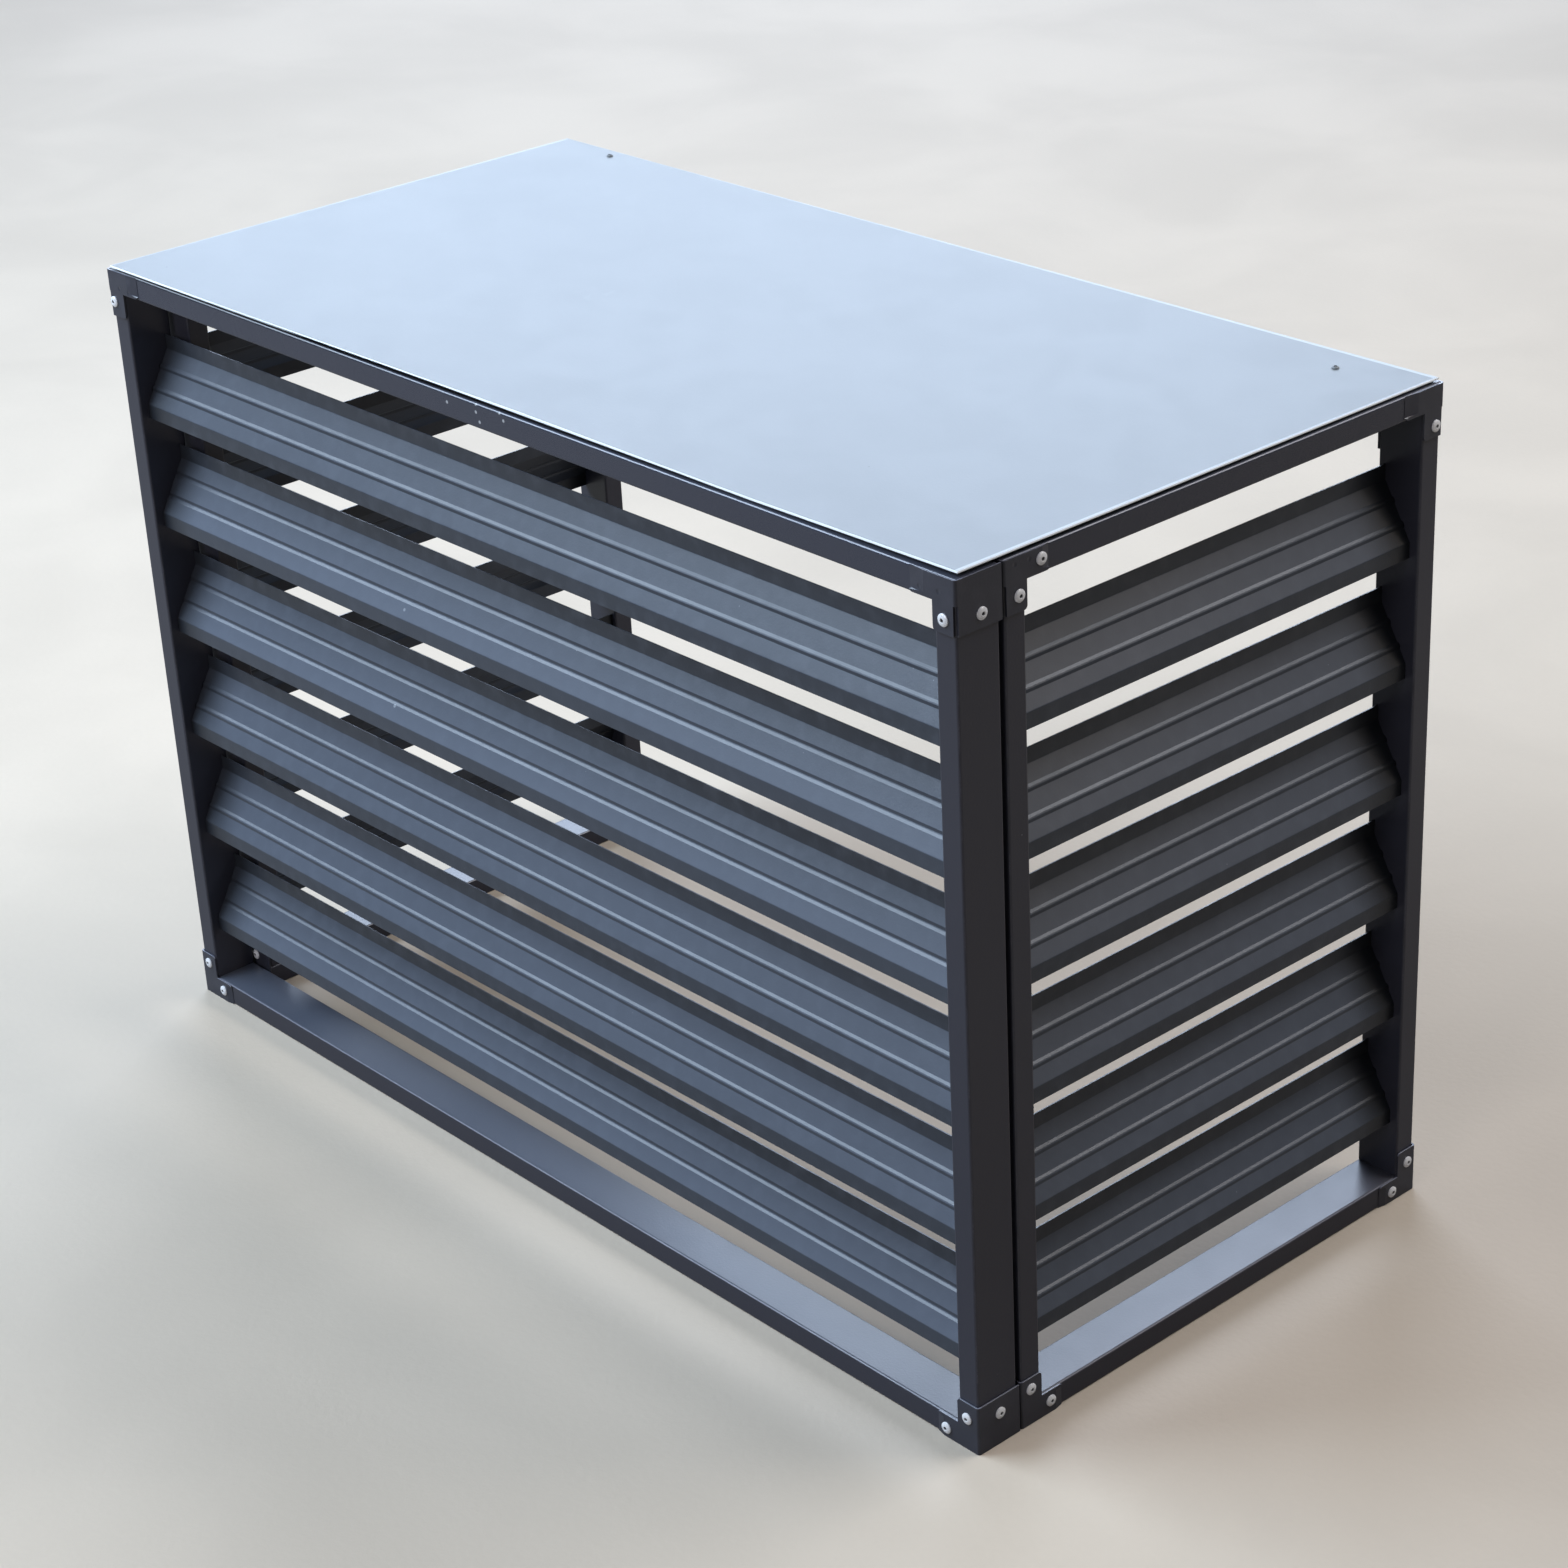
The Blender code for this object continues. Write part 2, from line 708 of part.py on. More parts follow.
def build_cross_rail(materials):
    """The tube across the back under the plate, between the side panels."""
    inside = FRAME_WIDTH / 2 - TUBE_BREADTH - CLEARANCE
    back = FRAME_DEPTH / 2 - TUBE_BREADTH
    rail = add_object(
        "rear_cross_rail",
        rail_mesh("rear_cross_rail", 2 * inside),
        materials["frame"],
        None,
        (-inside, back, RAIL_UNDERSIDE),
    )
    cutter = screw_holes("cross_rail_holes", FRAME_HEIGHT, TUBE_WALL)
    cut(rail, cutter)
    cutter.location = (inside, -back, -RAIL_UNDERSIDE)


def build_angles(materials):
    """Angles under the cross rail's ends, upright against the side panels' rear posts."""
    thick = ANGLE_THICKNESS
    centre = FRAME_WIDTH / 2 - TUBE_BREADTH - CLEARANCE
    top = RAIL_UNDERSIDE - CLEARANCE
    path = [
        Vector((-ANGLE_LEG, top - thick / 2)),
        Vector((-thick / 2, top - thick / 2)),
        Vector((-thick / 2, top - ANGLE_LEG)),
    ]
    outline = strip_outline(filleted(path, thick, ARC_STEPS), thick)
    back = FRAME_DEPTH / 2 - ANGLE_EDGE_MARGIN
    for word, way in (("left", -1), ("right", 1)):
        bm = bmesh.new()

        def place(point, depth, way=way):
            return Vector((way * (centre + point.x), depth, point.y))

        prism(bm, outline, place, back - ANGLE_WIDTH, back)
        name = f"rear_{word}_angle"
        add_object(name, finish_mesh(bm, name), materials["bracket"])


def main():
    """Builds the whole screen."""
    clear_scene()
    materials = make_materials()
    side_start = joint_plane() + PANEL_GAP
    side_centres = slat_centres(SIDE_SLAT_MARGIN_ABOVE)
    front_posts = build_panel(
        FRONT_PANEL,
        (-FRAME_WIDTH / 2, -FRAME_DEPTH / 2, 0),
        0,
        FRAME_WIDTH,
        ("left", "right"),
        slat_centres(FRONT_SLAT_MARGIN_ABOVE),
        TURNED_FRONT_SLATS,
        materials,
    )
    right_posts = build_panel(
        RIGHT_PANEL,
        (FRAME_WIDTH / 2, side_start, 0),
        math.pi / 2,
        SIDE_PANEL_LENGTH,
        ("front", "rear"),
        side_centres,
        (),
        materials,
    )
    left_posts = build_panel(
        LEFT_PANEL,
        (-FRAME_WIDTH / 2, FRAME_DEPTH / 2, 0),
        -math.pi / 2,
        SIDE_PANEL_LENGTH,
        ("rear", "front"),
        side_centres,
        (),
        materials,
    )
    build_joining_bolts(front_posts, (left_posts[1], right_posts[0]), materials)
    build_plate(materials)
    build_screws(materials)
    build_cross_rail(materials)
    build_angles(materials)


main()
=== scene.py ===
"""Finishes, rivets and stage for the louvred screen of an outdoor air conditioner unit.

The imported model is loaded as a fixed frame. The posts and lower rails keep their solids and get
a powder coat. The slats, brackets, plate, top rails and fasteners are made again here with finer
folds and edges, each where its solid stands. Lengths are in metres.
"""

import math

import bmesh
import bpy
from bpy.props import FloatProperty, FloatVectorProperty, PointerProperty
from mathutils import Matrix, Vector


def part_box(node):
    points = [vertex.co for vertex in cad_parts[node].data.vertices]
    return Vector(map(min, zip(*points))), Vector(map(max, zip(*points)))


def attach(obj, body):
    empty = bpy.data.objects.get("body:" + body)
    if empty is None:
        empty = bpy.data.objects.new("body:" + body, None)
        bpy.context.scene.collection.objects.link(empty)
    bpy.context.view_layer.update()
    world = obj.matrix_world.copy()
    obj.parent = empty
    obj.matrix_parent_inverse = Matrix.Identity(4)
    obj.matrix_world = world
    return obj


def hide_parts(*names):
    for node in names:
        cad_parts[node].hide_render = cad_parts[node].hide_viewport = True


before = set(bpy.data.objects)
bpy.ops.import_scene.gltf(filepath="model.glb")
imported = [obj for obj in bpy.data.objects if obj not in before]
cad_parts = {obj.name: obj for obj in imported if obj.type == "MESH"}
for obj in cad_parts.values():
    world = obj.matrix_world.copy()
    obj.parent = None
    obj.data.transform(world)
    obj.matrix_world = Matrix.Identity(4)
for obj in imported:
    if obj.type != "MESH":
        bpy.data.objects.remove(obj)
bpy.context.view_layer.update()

bl_info = {
    "name": "Louvred air conditioner screen",
    "version": (1, 0, 0),
    "blender": (4, 5, 0),
    "location": "3D View > Sidebar > Louvred screen",
    "description": "Dresses a louvred sheet metal screen with slats, brackets, rivets and coats",
    "category": "Object",
}

HEADINGS = {"front_panel": 0.0, "right_panel": math.pi / 2, "left_panel": -math.pi / 2}
SLATS_PER_PANEL = 6
TURNED_SLATS = {"front_panel": (2, 3, 6), "right_panel": (), "left_panel": ()}
MM = 0.001

# How much paler each slat is painted, as painted light, and where a slat's end takes a painted
# shadow from a post
SLAT_PAINTED_LIGHT = 0.5
TOP_SLAT_PAINTED_LIGHT = {"front_panel": 0.22, "right_panel": 0.55, "left_panel": 0.5}
LEFT_END_PAINTED_SHADOW = (-0.490, -0.435)
REAR_END_PAINTED_SHADOW = (0.176, 0.224)
FRONT_PANEL_BACK = (-0.208, -0.200)

# Painted light on the bottom rails' level faces, at their left and right ends, and other small
# tones, some of them painted highlight and shade
FRONT_SILL_PAINTED_LIGHT = ((0.063, 0.076, 0.106), (0.036, 0.041, 0.055))
RIGHT_SILL_PAINTED_LIGHT = ((0.080, 0.081, 0.101), (0.080, 0.081, 0.101))
BENT_EDGE_HIGHLIGHT = (0.87, 0.94, 1.0)
PLATE_UNDERSIDE_SHADE = (0.012, 0.014, 0.018)
HOLLOW_SHADE = (0.030, 0.031, 0.034)
RAIL_FLECK = (0.60, 0.63, 0.66)
SLAT_FLECK = (0.42, 0.46, 0.52)

# Shapes that differ a little from the solids
RIB_SHARES = (0.315, 0.705)
SLAT_STATIONS = 42
BEND_STEPS = 4
EDGE_STEPS = 2
ARM_SLOPE = 7.0 * MM
TOP_DROP = 1.4 * MM
PLATE_RIM = 1.1 * MM
PLATE_EDGE_ROUNDING = 0.15 * MM
# Where the painted highlight runs along the plate's top face
PLATE_SIDE_HIGHLIGHT = (0.5052, 0.5066)
PLATE_REAR_HIGHLIGHT = (0.2450, 0.2466)
FASTENER_ROUNDING = 0.2 * MM
SCREW_SLIMNESS = 0.75
RECESS_SPAN = 0.56
RECESS_DARK_SPAN = 0.30
BRACKET_SHEET = 1.8 * MM

# Mesh and node work
MERGE_DISTANCE = 0.02 * MM
NEAR = 0.1 * MM
FLAT_ANGLE = math.radians(0.4)
FOLD_ANGLE = math.radians(12)
SMOOTH_ANGLE = math.radians(35)
HEAD_SIDES = 36
HEAD_RINGS = 16


# Sizes and colours that a user may change


class ScreenSizes(bpy.types.PropertyGroup):
    """Sizes of the pieces that are made in this scene."""

    slat_thickness: FloatProperty(
        name="Slat thickness", description="Sheet of the slats", default=0.0010, unit="LENGTH"
    )
    slat_leg: FloatProperty(
        name="Slat leg", description="Height of the upright legs", default=0.0125, unit="LENGTH"
    )
    slat_bend: FloatProperty(
        name="Slat bend", description="Radius of the two long bends", default=0.0024, unit="LENGTH"
    )
    rib_width: FloatProperty(
        name="Rib width", description="Width of a pressed rib", default=0.0054, unit="LENGTH"
    )
    rib_crest: FloatProperty(
        name="Rib crest", description="Width of a rib's flat top", default=0.0010, unit="LENGTH"
    )
    rib_height: FloatProperty(
        name="Rib height", description="How far a rib stands out", default=0.0008, unit="LENGTH"
    )
    rib_rounding: FloatProperty(
        name="Rib rounding", description="Radius of a rib's folds", default=0.0009, unit="LENGTH"
    )
    slat_waviness: FloatProperty(
        name="Slat waviness", description="How far the sheet strays", default=0.0003, unit="LENGTH"
    )
    rivet_diameter: FloatProperty(
        name="Rivet head", description="Diameter of a rivet's head", default=0.0094, unit="LENGTH"
    )
    rivet_height: FloatProperty(
        name="Rivet height", description="Height of a rivet's head", default=0.0021, unit="LENGTH"
    )
    rivet_hole: FloatProperty(
        name="Rivet hole", description="Hole left by the pulled pin", default=0.0027, unit="LENGTH"
    )
    edge_rounding: FloatProperty(
        name="Edge rounding", description="Rounding of cut edges", default=0.00035, unit="LENGTH"
    )
    recess_width: FloatProperty(
        name="Recess width", description="Width of a recess's slots", default=0.0012, unit="LENGTH"
    )


class ScreenColours(bpy.types.PropertyGroup):
    """Colours of the coats and metals."""

    frame_coat: FloatVectorProperty(
        name="Frame", description="Coat of posts and rails", size=3, subtype="COLOR",
        default=(0.035, 0.037, 0.053), min=0, max=1,
    )
    # The slats' colour is bluer and paler than their dark paint: partly the paint, partly a painted
    # sheen of the sky
    slat_coat: FloatVectorProperty(
        name="Slats", description="Coat of the slats", size=3, subtype="COLOR",
        default=(0.066, 0.079, 0.105), min=0, max=1,
    )
    bracket_coat: FloatVectorProperty(
        name="Brackets", description="Coat of brackets and angles", size=3, subtype="COLOR",
        default=(0.036, 0.039, 0.055), min=0, max=1,
    )
    # The plate's colour is paler than its dark paint: partly the paint, partly a painted reflection
    # of the sky
    plate_coat: FloatVectorProperty(
        name="Plate", description="Coat of the top plate", size=3, subtype="COLOR",
        default=(0.226, 0.250, 0.271), min=0, max=1,
    )
    steel: FloatVectorProperty(
        name="Zinc", description="Zinc plated steel", size=3, subtype="COLOR",
        default=(0.90, 0.93, 0.99), min=0, max=1,
    )
    dust: FloatVectorProperty(
        name="Dust", description="Dust that lies on the coats", size=3, subtype="COLOR",
        default=(0.39, 0.43, 0.50), min=0, max=1,
    )
    floor: FloatVectorProperty(
        name="Floor", description="The pale floor", size=3, subtype="COLOR",
        default=(0.562, 0.492, 0.409), min=0, max=1,
    )


class ScreenStage(bpy.types.PropertyGroup):
    """Camera and lights."""

    lens: FloatProperty(name="Lens", description="Focal length in millimetres", default=80.0805)
    shift: FloatVectorProperty(
        name="Shift", description="Shift of the picture", size=2, default=(-0.03007, 0.01884)
    )
    eye: FloatVectorProperty(
        name="Eye", description="Place of the camera", size=3, subtype="TRANSLATION",
        default=(2.01956, -1.69896, 1.57620), unit="LENGTH",
    )
    turn: FloatVectorProperty(
        name="Turn", description="Turn of the camera", size=3, subtype="EULER",
        default=tuple(math.radians(angle) for angle in (63.4712, 2.4053, 47.3591)),
    )
    key_power: FloatProperty(name="Key light", description="Watts of the key light", default=222)
    sky_power: FloatProperty(name="Sky light", description="Watts of the high light", default=326)
    back_power: FloatProperty(name="Back light", description="Watts of the rear light", default=118)
    front_power: FloatProperty(name="Front light", description="Watts of the far front", default=75)
    fill_power: FloatProperty(name="Fill light", description="Watts of the fill", default=9.5)
    world_level: FloatProperty(name="World", description="Level of the room's light", default=0.02)


# Nodes and their maths


class Value:
    """A socket of a node tree, with arithmetic that adds Math nodes."""

    def __init__(self, owner, socket):
        self.owner = owner
        self.socket = socket

    def maths(self, operation, *operands):
        sockets = dict(enumerate(operands))
        return self.owner.node("ShaderNodeMath", {"operation": operation}, sockets)

    def __add__(self, other):
        return self.maths("ADD", self, other)

    def __radd__(self, other):
        return self.maths("ADD", other, self)

    def __sub__(self, other):
        return self.maths("SUBTRACT", self, other)

    def __rsub__(self, other):
        return self.maths("SUBTRACT", other, self)

    def __mul__(self, other):
        return self.maths("MULTIPLY", self, other)

    def __rmul__(self, other):
        return self.maths("MULTIPLY", other, self)

    def __truediv__(self, other):
        return self.maths("DIVIDE", self, other)

    def __pow__(self, other):
        return self.maths("POWER", self, other)

    def __gt__(self, other):
        return self.maths("GREATER_THAN", self, other)

    def __abs__(self):
        return self.maths("ABSOLUTE", self)

    def larger(self, other):
        return self.maths("MAXIMUM", self, other)

    def ramp(self, low, high):
        """0 below low, 1 above high, and a smooth step between."""
        return self.owner.node(
            "ShaderNodeMapRange",
            {"interpolation_type": "SMOOTHSTEP"},
            {"Value": self, "From Min": low, "From Max": high, "To Min": 0.0, "To Max": 1.0},
        )


class Tree:
    """A node tree that is written as expressions on sockets."""

    def node(self, kind, settings=None, sockets=None, output=0):
        """Adds a node. Its settings come first, then the values or links of its sockets."""
        node = self.tree.nodes.new(kind)
        for key, value in (settings or {}).items():
            setattr(node, key, value)
        for key, value in (sockets or {}).items():
            self.feed(self.input_of(node, key), value)
        return Value(self, node.outputs[output])

    @staticmethod
    def input_of(node, key):
        for socket in node.inputs:
            if socket.identifier == key:
                return socket
        return node.inputs[key]

    def feed(self, socket, value):
        if isinstance(value, Value):
            self.tree.links.new(value.socket, socket)
        elif hasattr(socket.default_value, "__len__") and len(socket.default_value) == 4:
            socket.default_value = (*value, 1.0)
        else:
            socket.default_value = value

    def channel(self, vector, index):
        return self.node("ShaderNodeSeparateXYZ", None, {"Vector": vector}, index)


class Finish(Tree):
    """One material and its shader."""

    def __init__(self, name, slot):
        self.material = bpy.data.materials.new(name)
        self.material.use_nodes = True
        self.slot = slot
        self.tree = self.material.node_tree
        self.shader = self.tree.nodes["Principled BSDF"]
        self.place = self.node("ShaderNodeTexCoord", output="Object")
        self.normal = self.node("ShaderNodeNewGeometry", output="Normal")

    def scaled_place(self, scale):
        """The place on the piece, stretched by a scale for each direction."""
        return self.node("ShaderNodeMapping", None, {"Vector": self.place, "Scale": scale})

    def noise(self, scale, detail=2.0, distortion=0.0, place=None):
        values = {"Scale": scale, "Detail": detail, "Distortion": distortion}
        return self.node("ShaderNodeTexNoise", None, {"Vector": place or self.place, **values})

    def cells(self, scale, output=0):
        """Voronoi cells: output 0 is the distance from the middle, 1 the colour of the cell."""
        sockets = {"Vector": self.place, "Scale": scale}
        return self.node("ShaderNodeTexVoronoi", None, sockets, output)

    def attribute(self, name):
        return self.node("ShaderNodeAttribute", {"attribute_name": name}, None, "Fac")

    def mixed(self, factor, below, above):
        """Colour below where the factor is 0, colour above where it is 1."""
        sockets = {"Factor_Float": factor, "A_Color": below, "B_Color": above}
        return self.node("ShaderNodeMix", {"data_type": "RGBA"}, sockets, 2)

    def spots(self, centres, radius, softness=0.35):
        """1 within small round spots about these places on the piece."""
        total = None
        for centre in centres:
            away = self.node(
                "ShaderNodeVectorMath",
                {"operation": "DISTANCE"},
                {"Vector": self.place, "Vector_001": centre},
                "Value",
            )
            spot = 1 - away.ramp(radius * (1 - softness), radius)
            total = spot if total is None else total.larger(spot)
        return total

    def bump(self, height, depth):
        """Raises the surface by this height field, whose 1 is this deep."""
        sockets = {"Strength": 1.0, "Distance": depth, "Height": height}
        self.set("Normal", self.node("ShaderNodeBump", None, sockets))

    def set(self, name, value):
        self.feed(self.shader.inputs[name], value)


def in_metres(*places):
    """Places that are listed in millimetres."""
    return [tuple(length * MM for length in place) for place in places]


def tinted(colour, factor, lift=0.0):
    """The colour made lighter or darker, for a second tone."""
    return tuple(min(1.0, channel * factor + lift) for channel in colour)


def powder_coat(
    name, slot, colour, roughness, wear_and_highlight_edges="normal", extra=None, specular=0.5, edge_highlight_strength=0.75
):
    """Satin powder coat: fine orange peel, cloudy tone, dust on level faces, rubbed edges, and a
    painted highlight on edges that face up.
    """
    finish = Finish(name, slot)
    dust_colour = bpy.context.scene.screen_colours.dust
    cloud = finish.noise(4.0, 3.0, 0.3)
    smudge = finish.noise(19.0, 6.0, 1.2)
    peel = finish.noise(520.0, 2.0)
    grain = finish.noise(1900.0, 1.0)
    streaks = finish.noise(1.0, 3.0, 0.2, finish.scaled_place((14.0, 14.0, 620.0)))
    rubbed = finish.noise(70.0, 4.0)
    up = finish.channel(finish.normal, 2)

    if wear_and_highlight_edges == "normal":
        sides = [abs(finish.channel(finish.normal, index)) for index in range(3)]
        flat = sides[0].larger(sides[1]).larger(sides[2])
        edge = (1 - flat).ramp(0.01, 0.22)
    else:
        edge = finish.attribute(wear_and_highlight_edges)

    tone = cloud.ramp(0.30, 0.72)
    body = finish.mixed(tone, tinted(colour, 0.975), tinted(colour, 1.025))
    body = finish.mixed(grain.ramp(0.56, 0.80) * 0.22, body, tinted(colour, 1.55, 0.01))
    scratch = streaks.ramp(0.70, 0.735) * smudge.ramp(0.52, 0.66)
    body = finish.mixed(scratch * 0.08, body, tinted(colour, 1.9, 0.02))
    dust = up.ramp(0.45, 0.98) * (0.7 + 0.3 * smudge.ramp(0.35, 0.70))
    body = finish.mixed(dust * 0.055, body, dust_colour)
    wear = edge * rubbed.ramp(0.40, 0.74)
    body = finish.mixed(wear * 0.40, body, tinted(colour, 2.4, 0.03))
    # Painted highlight: rounded edges that face up are made much paler
    rim = edge * up.ramp(0.05, 0.45)
    body = finish.mixed(rim * edge_highlight_strength, body, tinted(colour, 3.6, 0.05))
    specks = (1 - finish.cells(58.0).ramp(0.020, 0.034)) * finish.cells(58.0, 1).ramp(0.66, 0.70)
    body = finish.mixed(specks * 0.45, body, dust_colour)
    height = 0.62 * peel + 0.22 * grain + 0.16 * specks
    if extra:
        body, height = extra(finish, body, height)
    finish.set("Base Color", body)
    gloss = roughness - 0.01 + 0.02 * smudge.ramp(0.34, 0.70) + 0.02 * dust - 0.05 * wear
    finish.set("Roughness", gloss + 0.05 * grain.ramp(0.40, 0.70))
    finish.bump(height, 0.00009)
    finish.set("Specular IOR Level", specular)
    return finish


def slat_coat(colours):
    """The slats' coat: painted light pales the slats, and painted shade darkens their upright legs,
    undersides and ends beside the posts.
    """

    def with_painted_light(finish, body, height):
        # Painted light: each slat is paler by its own amount, and a turned slat grows paler towards
        # its bottom
        painted_light = finish.attribute("bleached")
        body = finish.mixed(painted_light * 0.55, body, tinted(colours.slat_coat, 2.0))
        level = finish.channel(finish.normal, 2)
        # Painted shade: the upright legs are made darker than the leaning faces
        upright = 1 - abs(level).ramp(0.12, 0.42)
        body = finish.mixed(upright * 0.58, body, tinted(colours.slat_coat, 0.15))
        # Painted shadow of the posts: the front slats darken at their left ends, the side slats at
        # their rear ends
        across, deep = (finish.channel(finish.place, index) for index in range(2))
        left_end_shadow = (1 - across.ramp(*LEFT_END_PAINTED_SHADOW)) * (1 - deep.ramp(*FRONT_PANEL_BACK))
        ends = (0.75 * left_end_shadow).larger(0.9 * deep.ramp(*REAR_END_PAINTED_SHADOW))
        body = finish.mixed(ends, body, tinted(colours.slat_coat, 0.16))
        # Painted shade: faces that look down are made darker
        under = 1 - (level + 1).ramp(0.40, 0.90)
        body = finish.mixed(under * 0.80, body, tinted(colours.slat_coat, 0.22))
        fleck = finish.spots([(-0.1414, -0.2370, 0.4864), (-0.1735, -0.2350, 0.3907)], 0.0018)
        return finish.mixed(fleck * 0.45, body, SLAT_FLECK), height

    return powder_coat(
        "slat_powder_coat", "slat_coat", colours.slat_coat, 0.34, "worn", with_painted_light, 0.4, 0.0
    )


def plate_coat(colours):
    """The plate's pale coat, partly a painted reflection, with painted shade darkening it to the
    front right, painted highlights on its border and edges, and painted shade on its underside.
    """

    def plate_marks_and_painted_light(finish, body, height):
        across, deep = (finish.channel(finish.place, index) for index in range(2))
        # Painted shade: the plate darkens towards its front right
        shade = (0.62 * across - 0.55 * deep).ramp(-0.62, 0.55)
        body = finish.mixed(shade * 0.60, body, tinted(colours.plate_coat, 0.84))
        mark = finish.spots([(0.3248, -0.1522, 0.7025), (-0.4650, -0.2210, 0.7020)], 0.0011)
        body = finish.mixed(mark * 0.5, body, tinted(colours.plate_coat, 0.55))
        up = finish.channel(finish.normal, 2)
        # Painted highlight: a thin band along the side and rear borders of the top face is paler
        border_highlight = abs(across).ramp(*PLATE_SIDE_HIGHLIGHT).larger(deep.ramp(*PLATE_REAR_HIGHLIGHT))
        body = finish.mixed(border_highlight * up.ramp(0.9, 0.99), body, tinted(colours.plate_coat, 1.8))
        # Painted highlight: the plate's bent and cut edges are near white
        cut_edge_highlight = 1 - up.ramp(0.88, 0.99)
        body = finish.mixed(cut_edge_highlight * 0.95, body, BENT_EDGE_HIGHLIGHT)
        # Painted shade: the underside and lower edge of the plate are near black
        underside_shade = 1 - (up + 1).ramp(0.55, 0.95)
        body = finish.mixed(underside_shade * 0.90, body, PLATE_UNDERSIDE_SHADE)
        buckle = finish.noise(5.0, 1.0)
        return body, height + 0.12 * buckle

    return powder_coat(
        "plate_powder_coat", "plate_coat", colours.plate_coat, 0.36, extra=plate_marks_and_painted_light, specular=0.12
    )


def fascia_coat(colours):
    """The top rails' coat: a lighter, bluer copy of the frame coat as painted light, with painted
    shade taking its upper edge dark at the left, and pale specks on the front.
    """
    centres = in_metres(
        (-1.1, -250.0, 698.0), (27.7, -250.0, 697.8), (-1.4, -250.0, 691.6),
        (2.3, -250.0, 684.4), (32.2, -250.0, 692.6), (-37.3, -250.0, 691.1),
    )

    def flecked(finish, body, height):
        # Painted shade: the upper faces and edges darken towards the left end
        left_painted_shade = 1 - finish.channel(finish.place, 0).ramp(-0.38, 0.14)
        rim = finish.channel(finish.normal, 2).ramp(0.05, 0.45)
        body = finish.mixed(rim * left_painted_shade * 0.90, body, tinted(colours.frame_coat, 0.4))
        fleck = finish.spots(centres, 0.0016)
        return finish.mixed(fleck * 0.55, body, RAIL_FLECK), height + 0.8 * fleck

    # Painted light: the top rails take a lighter, bluer copy of the frame coat
    red, green, blue = tinted(colours.frame_coat, 1.08)
    colour = (red, green * 1.05, blue * 1.08)
    return powder_coat("top_rail_coat", "frame_coat", colour, 0.27, extra=flecked, edge_highlight_strength=0.92)


def sill_coat(colours, name, left, right):
    """The frame's coat with painted light on a bottom rail's level faces, changing from its left
    end to its right.
    """

    def with_painted_light(finish, body, height):
        # Painted light on the level faces: a sheen whose colour changes from the left end to the
        # right
        level = finish.channel(finish.normal, 2).ramp(0.90, 0.99)
        painted_light = finish.mixed(finish.channel(finish.place, 0).ramp(0.0, 0.46), left, right)
        return finish.mixed(level * 0.9, body, painted_light), height

    return powder_coat(name, "frame_coat", colours.frame_coat, 0.30, extra=with_painted_light)


def bracket_coat(colours):
    """The brackets' coat, with the small pressed dimples beside the folds, darkened by painted
    shade.
    """
    centres = in_metres(
        (477.1, -251.8, 685.8), (495.9, -251.8, 686.9), (-494.4, -251.8, 684.5),
        (-480.8, -251.8, 683.0), (511.8, -196.6, 693.2), (511.8, -182.9, 693.0),
        (511.8, -182.2, 30.8),
    )

    def dimpled(finish, body, height):
        dimple_and_shade = finish.spots(centres, 0.0024, 0.9)
        # Painted shade: the dimples are darkened
        body = finish.mixed(dimple_and_shade * 0.35, body, tinted(colours.bracket_coat, 0.5))
        return body, height - 3.0 * dimple_and_shade

    return powder_coat(
        "bracket_powder_coat", "bracket_coat", colours.bracket_coat, 0.30, "worn", extra=dimpled
    )


def zinc(name, slot, colour, roughness=0.24):
    """Bright zinc plate: small crystals, a duller bloom, and painted shade in the hollows."""
    finish = Finish(name, slot)
    crystal = finish.channel(finish.cells(900.0, 1), 0)
    bloom = finish.noise(240.0, 3.0)
    scuff = finish.noise(1400.0, 2.0)
    hollow = finish.attribute("hollow")
    body = finish.mixed(crystal * 0.5, tinted(colour, 0.86), tinted(colour, 1.10))
    body = finish.mixed(bloom.ramp(0.45, 0.75) * 0.30, body, tinted(colour, 0.80))
    # Painted shade: the hollows are near black and dull
    body = finish.mixed(hollow, body, HOLLOW_SHADE)
    finish.set("Base Color", body)
    finish.set("Metallic", 0.06 - 0.06 * hollow)
    finish.set("Roughness", roughness - 0.05 + 0.16 * bloom.ramp(0.35, 0.75) + 0.3 * hollow)
    finish.bump(0.6 * scuff + 0.4 * crystal, 0.00003)
    return finish


COATS = {}


def make_coats():
    """Every coat and metal of the screen, by name."""
    colours = bpy.context.scene.screen_colours
    COATS["frame"] = powder_coat("frame_powder_coat", "frame_coat", colours.frame_coat, 0.30)
    COATS["fascia"] = fascia_coat(colours)
    COATS["front_panel_sill"] = sill_coat(colours, "front_sill_coat", *FRONT_SILL_PAINTED_LIGHT)
    COATS["right_panel_sill"] = sill_coat(colours, "right_sill_coat", *RIGHT_SILL_PAINTED_LIGHT)
    COATS["slat"] = slat_coat(colours)
    COATS["bracket"] = bracket_coat(colours)
    COATS["plate"] = plate_coat(colours)
    # The screw heads take the plate's pale colour, with its painted reflection
    COATS["screw"] = zinc("painted_screw", "plate_coat", colours.plate_coat, 0.42)
    COATS["zinc"] = zinc("zinc_plated_steel", "zinc_steel", colours.steel)


# Meshes and node trees


def coat(obj, finish):
    """Gives the piece one finish all over."""
    obj.data.materials.clear()
    obj.data.materials.append(finish.material)


def added_object(name, data):
    obj = bpy.data.objects.new(name, data)
    bpy.context.scene.collection.objects.link(obj)
    return obj


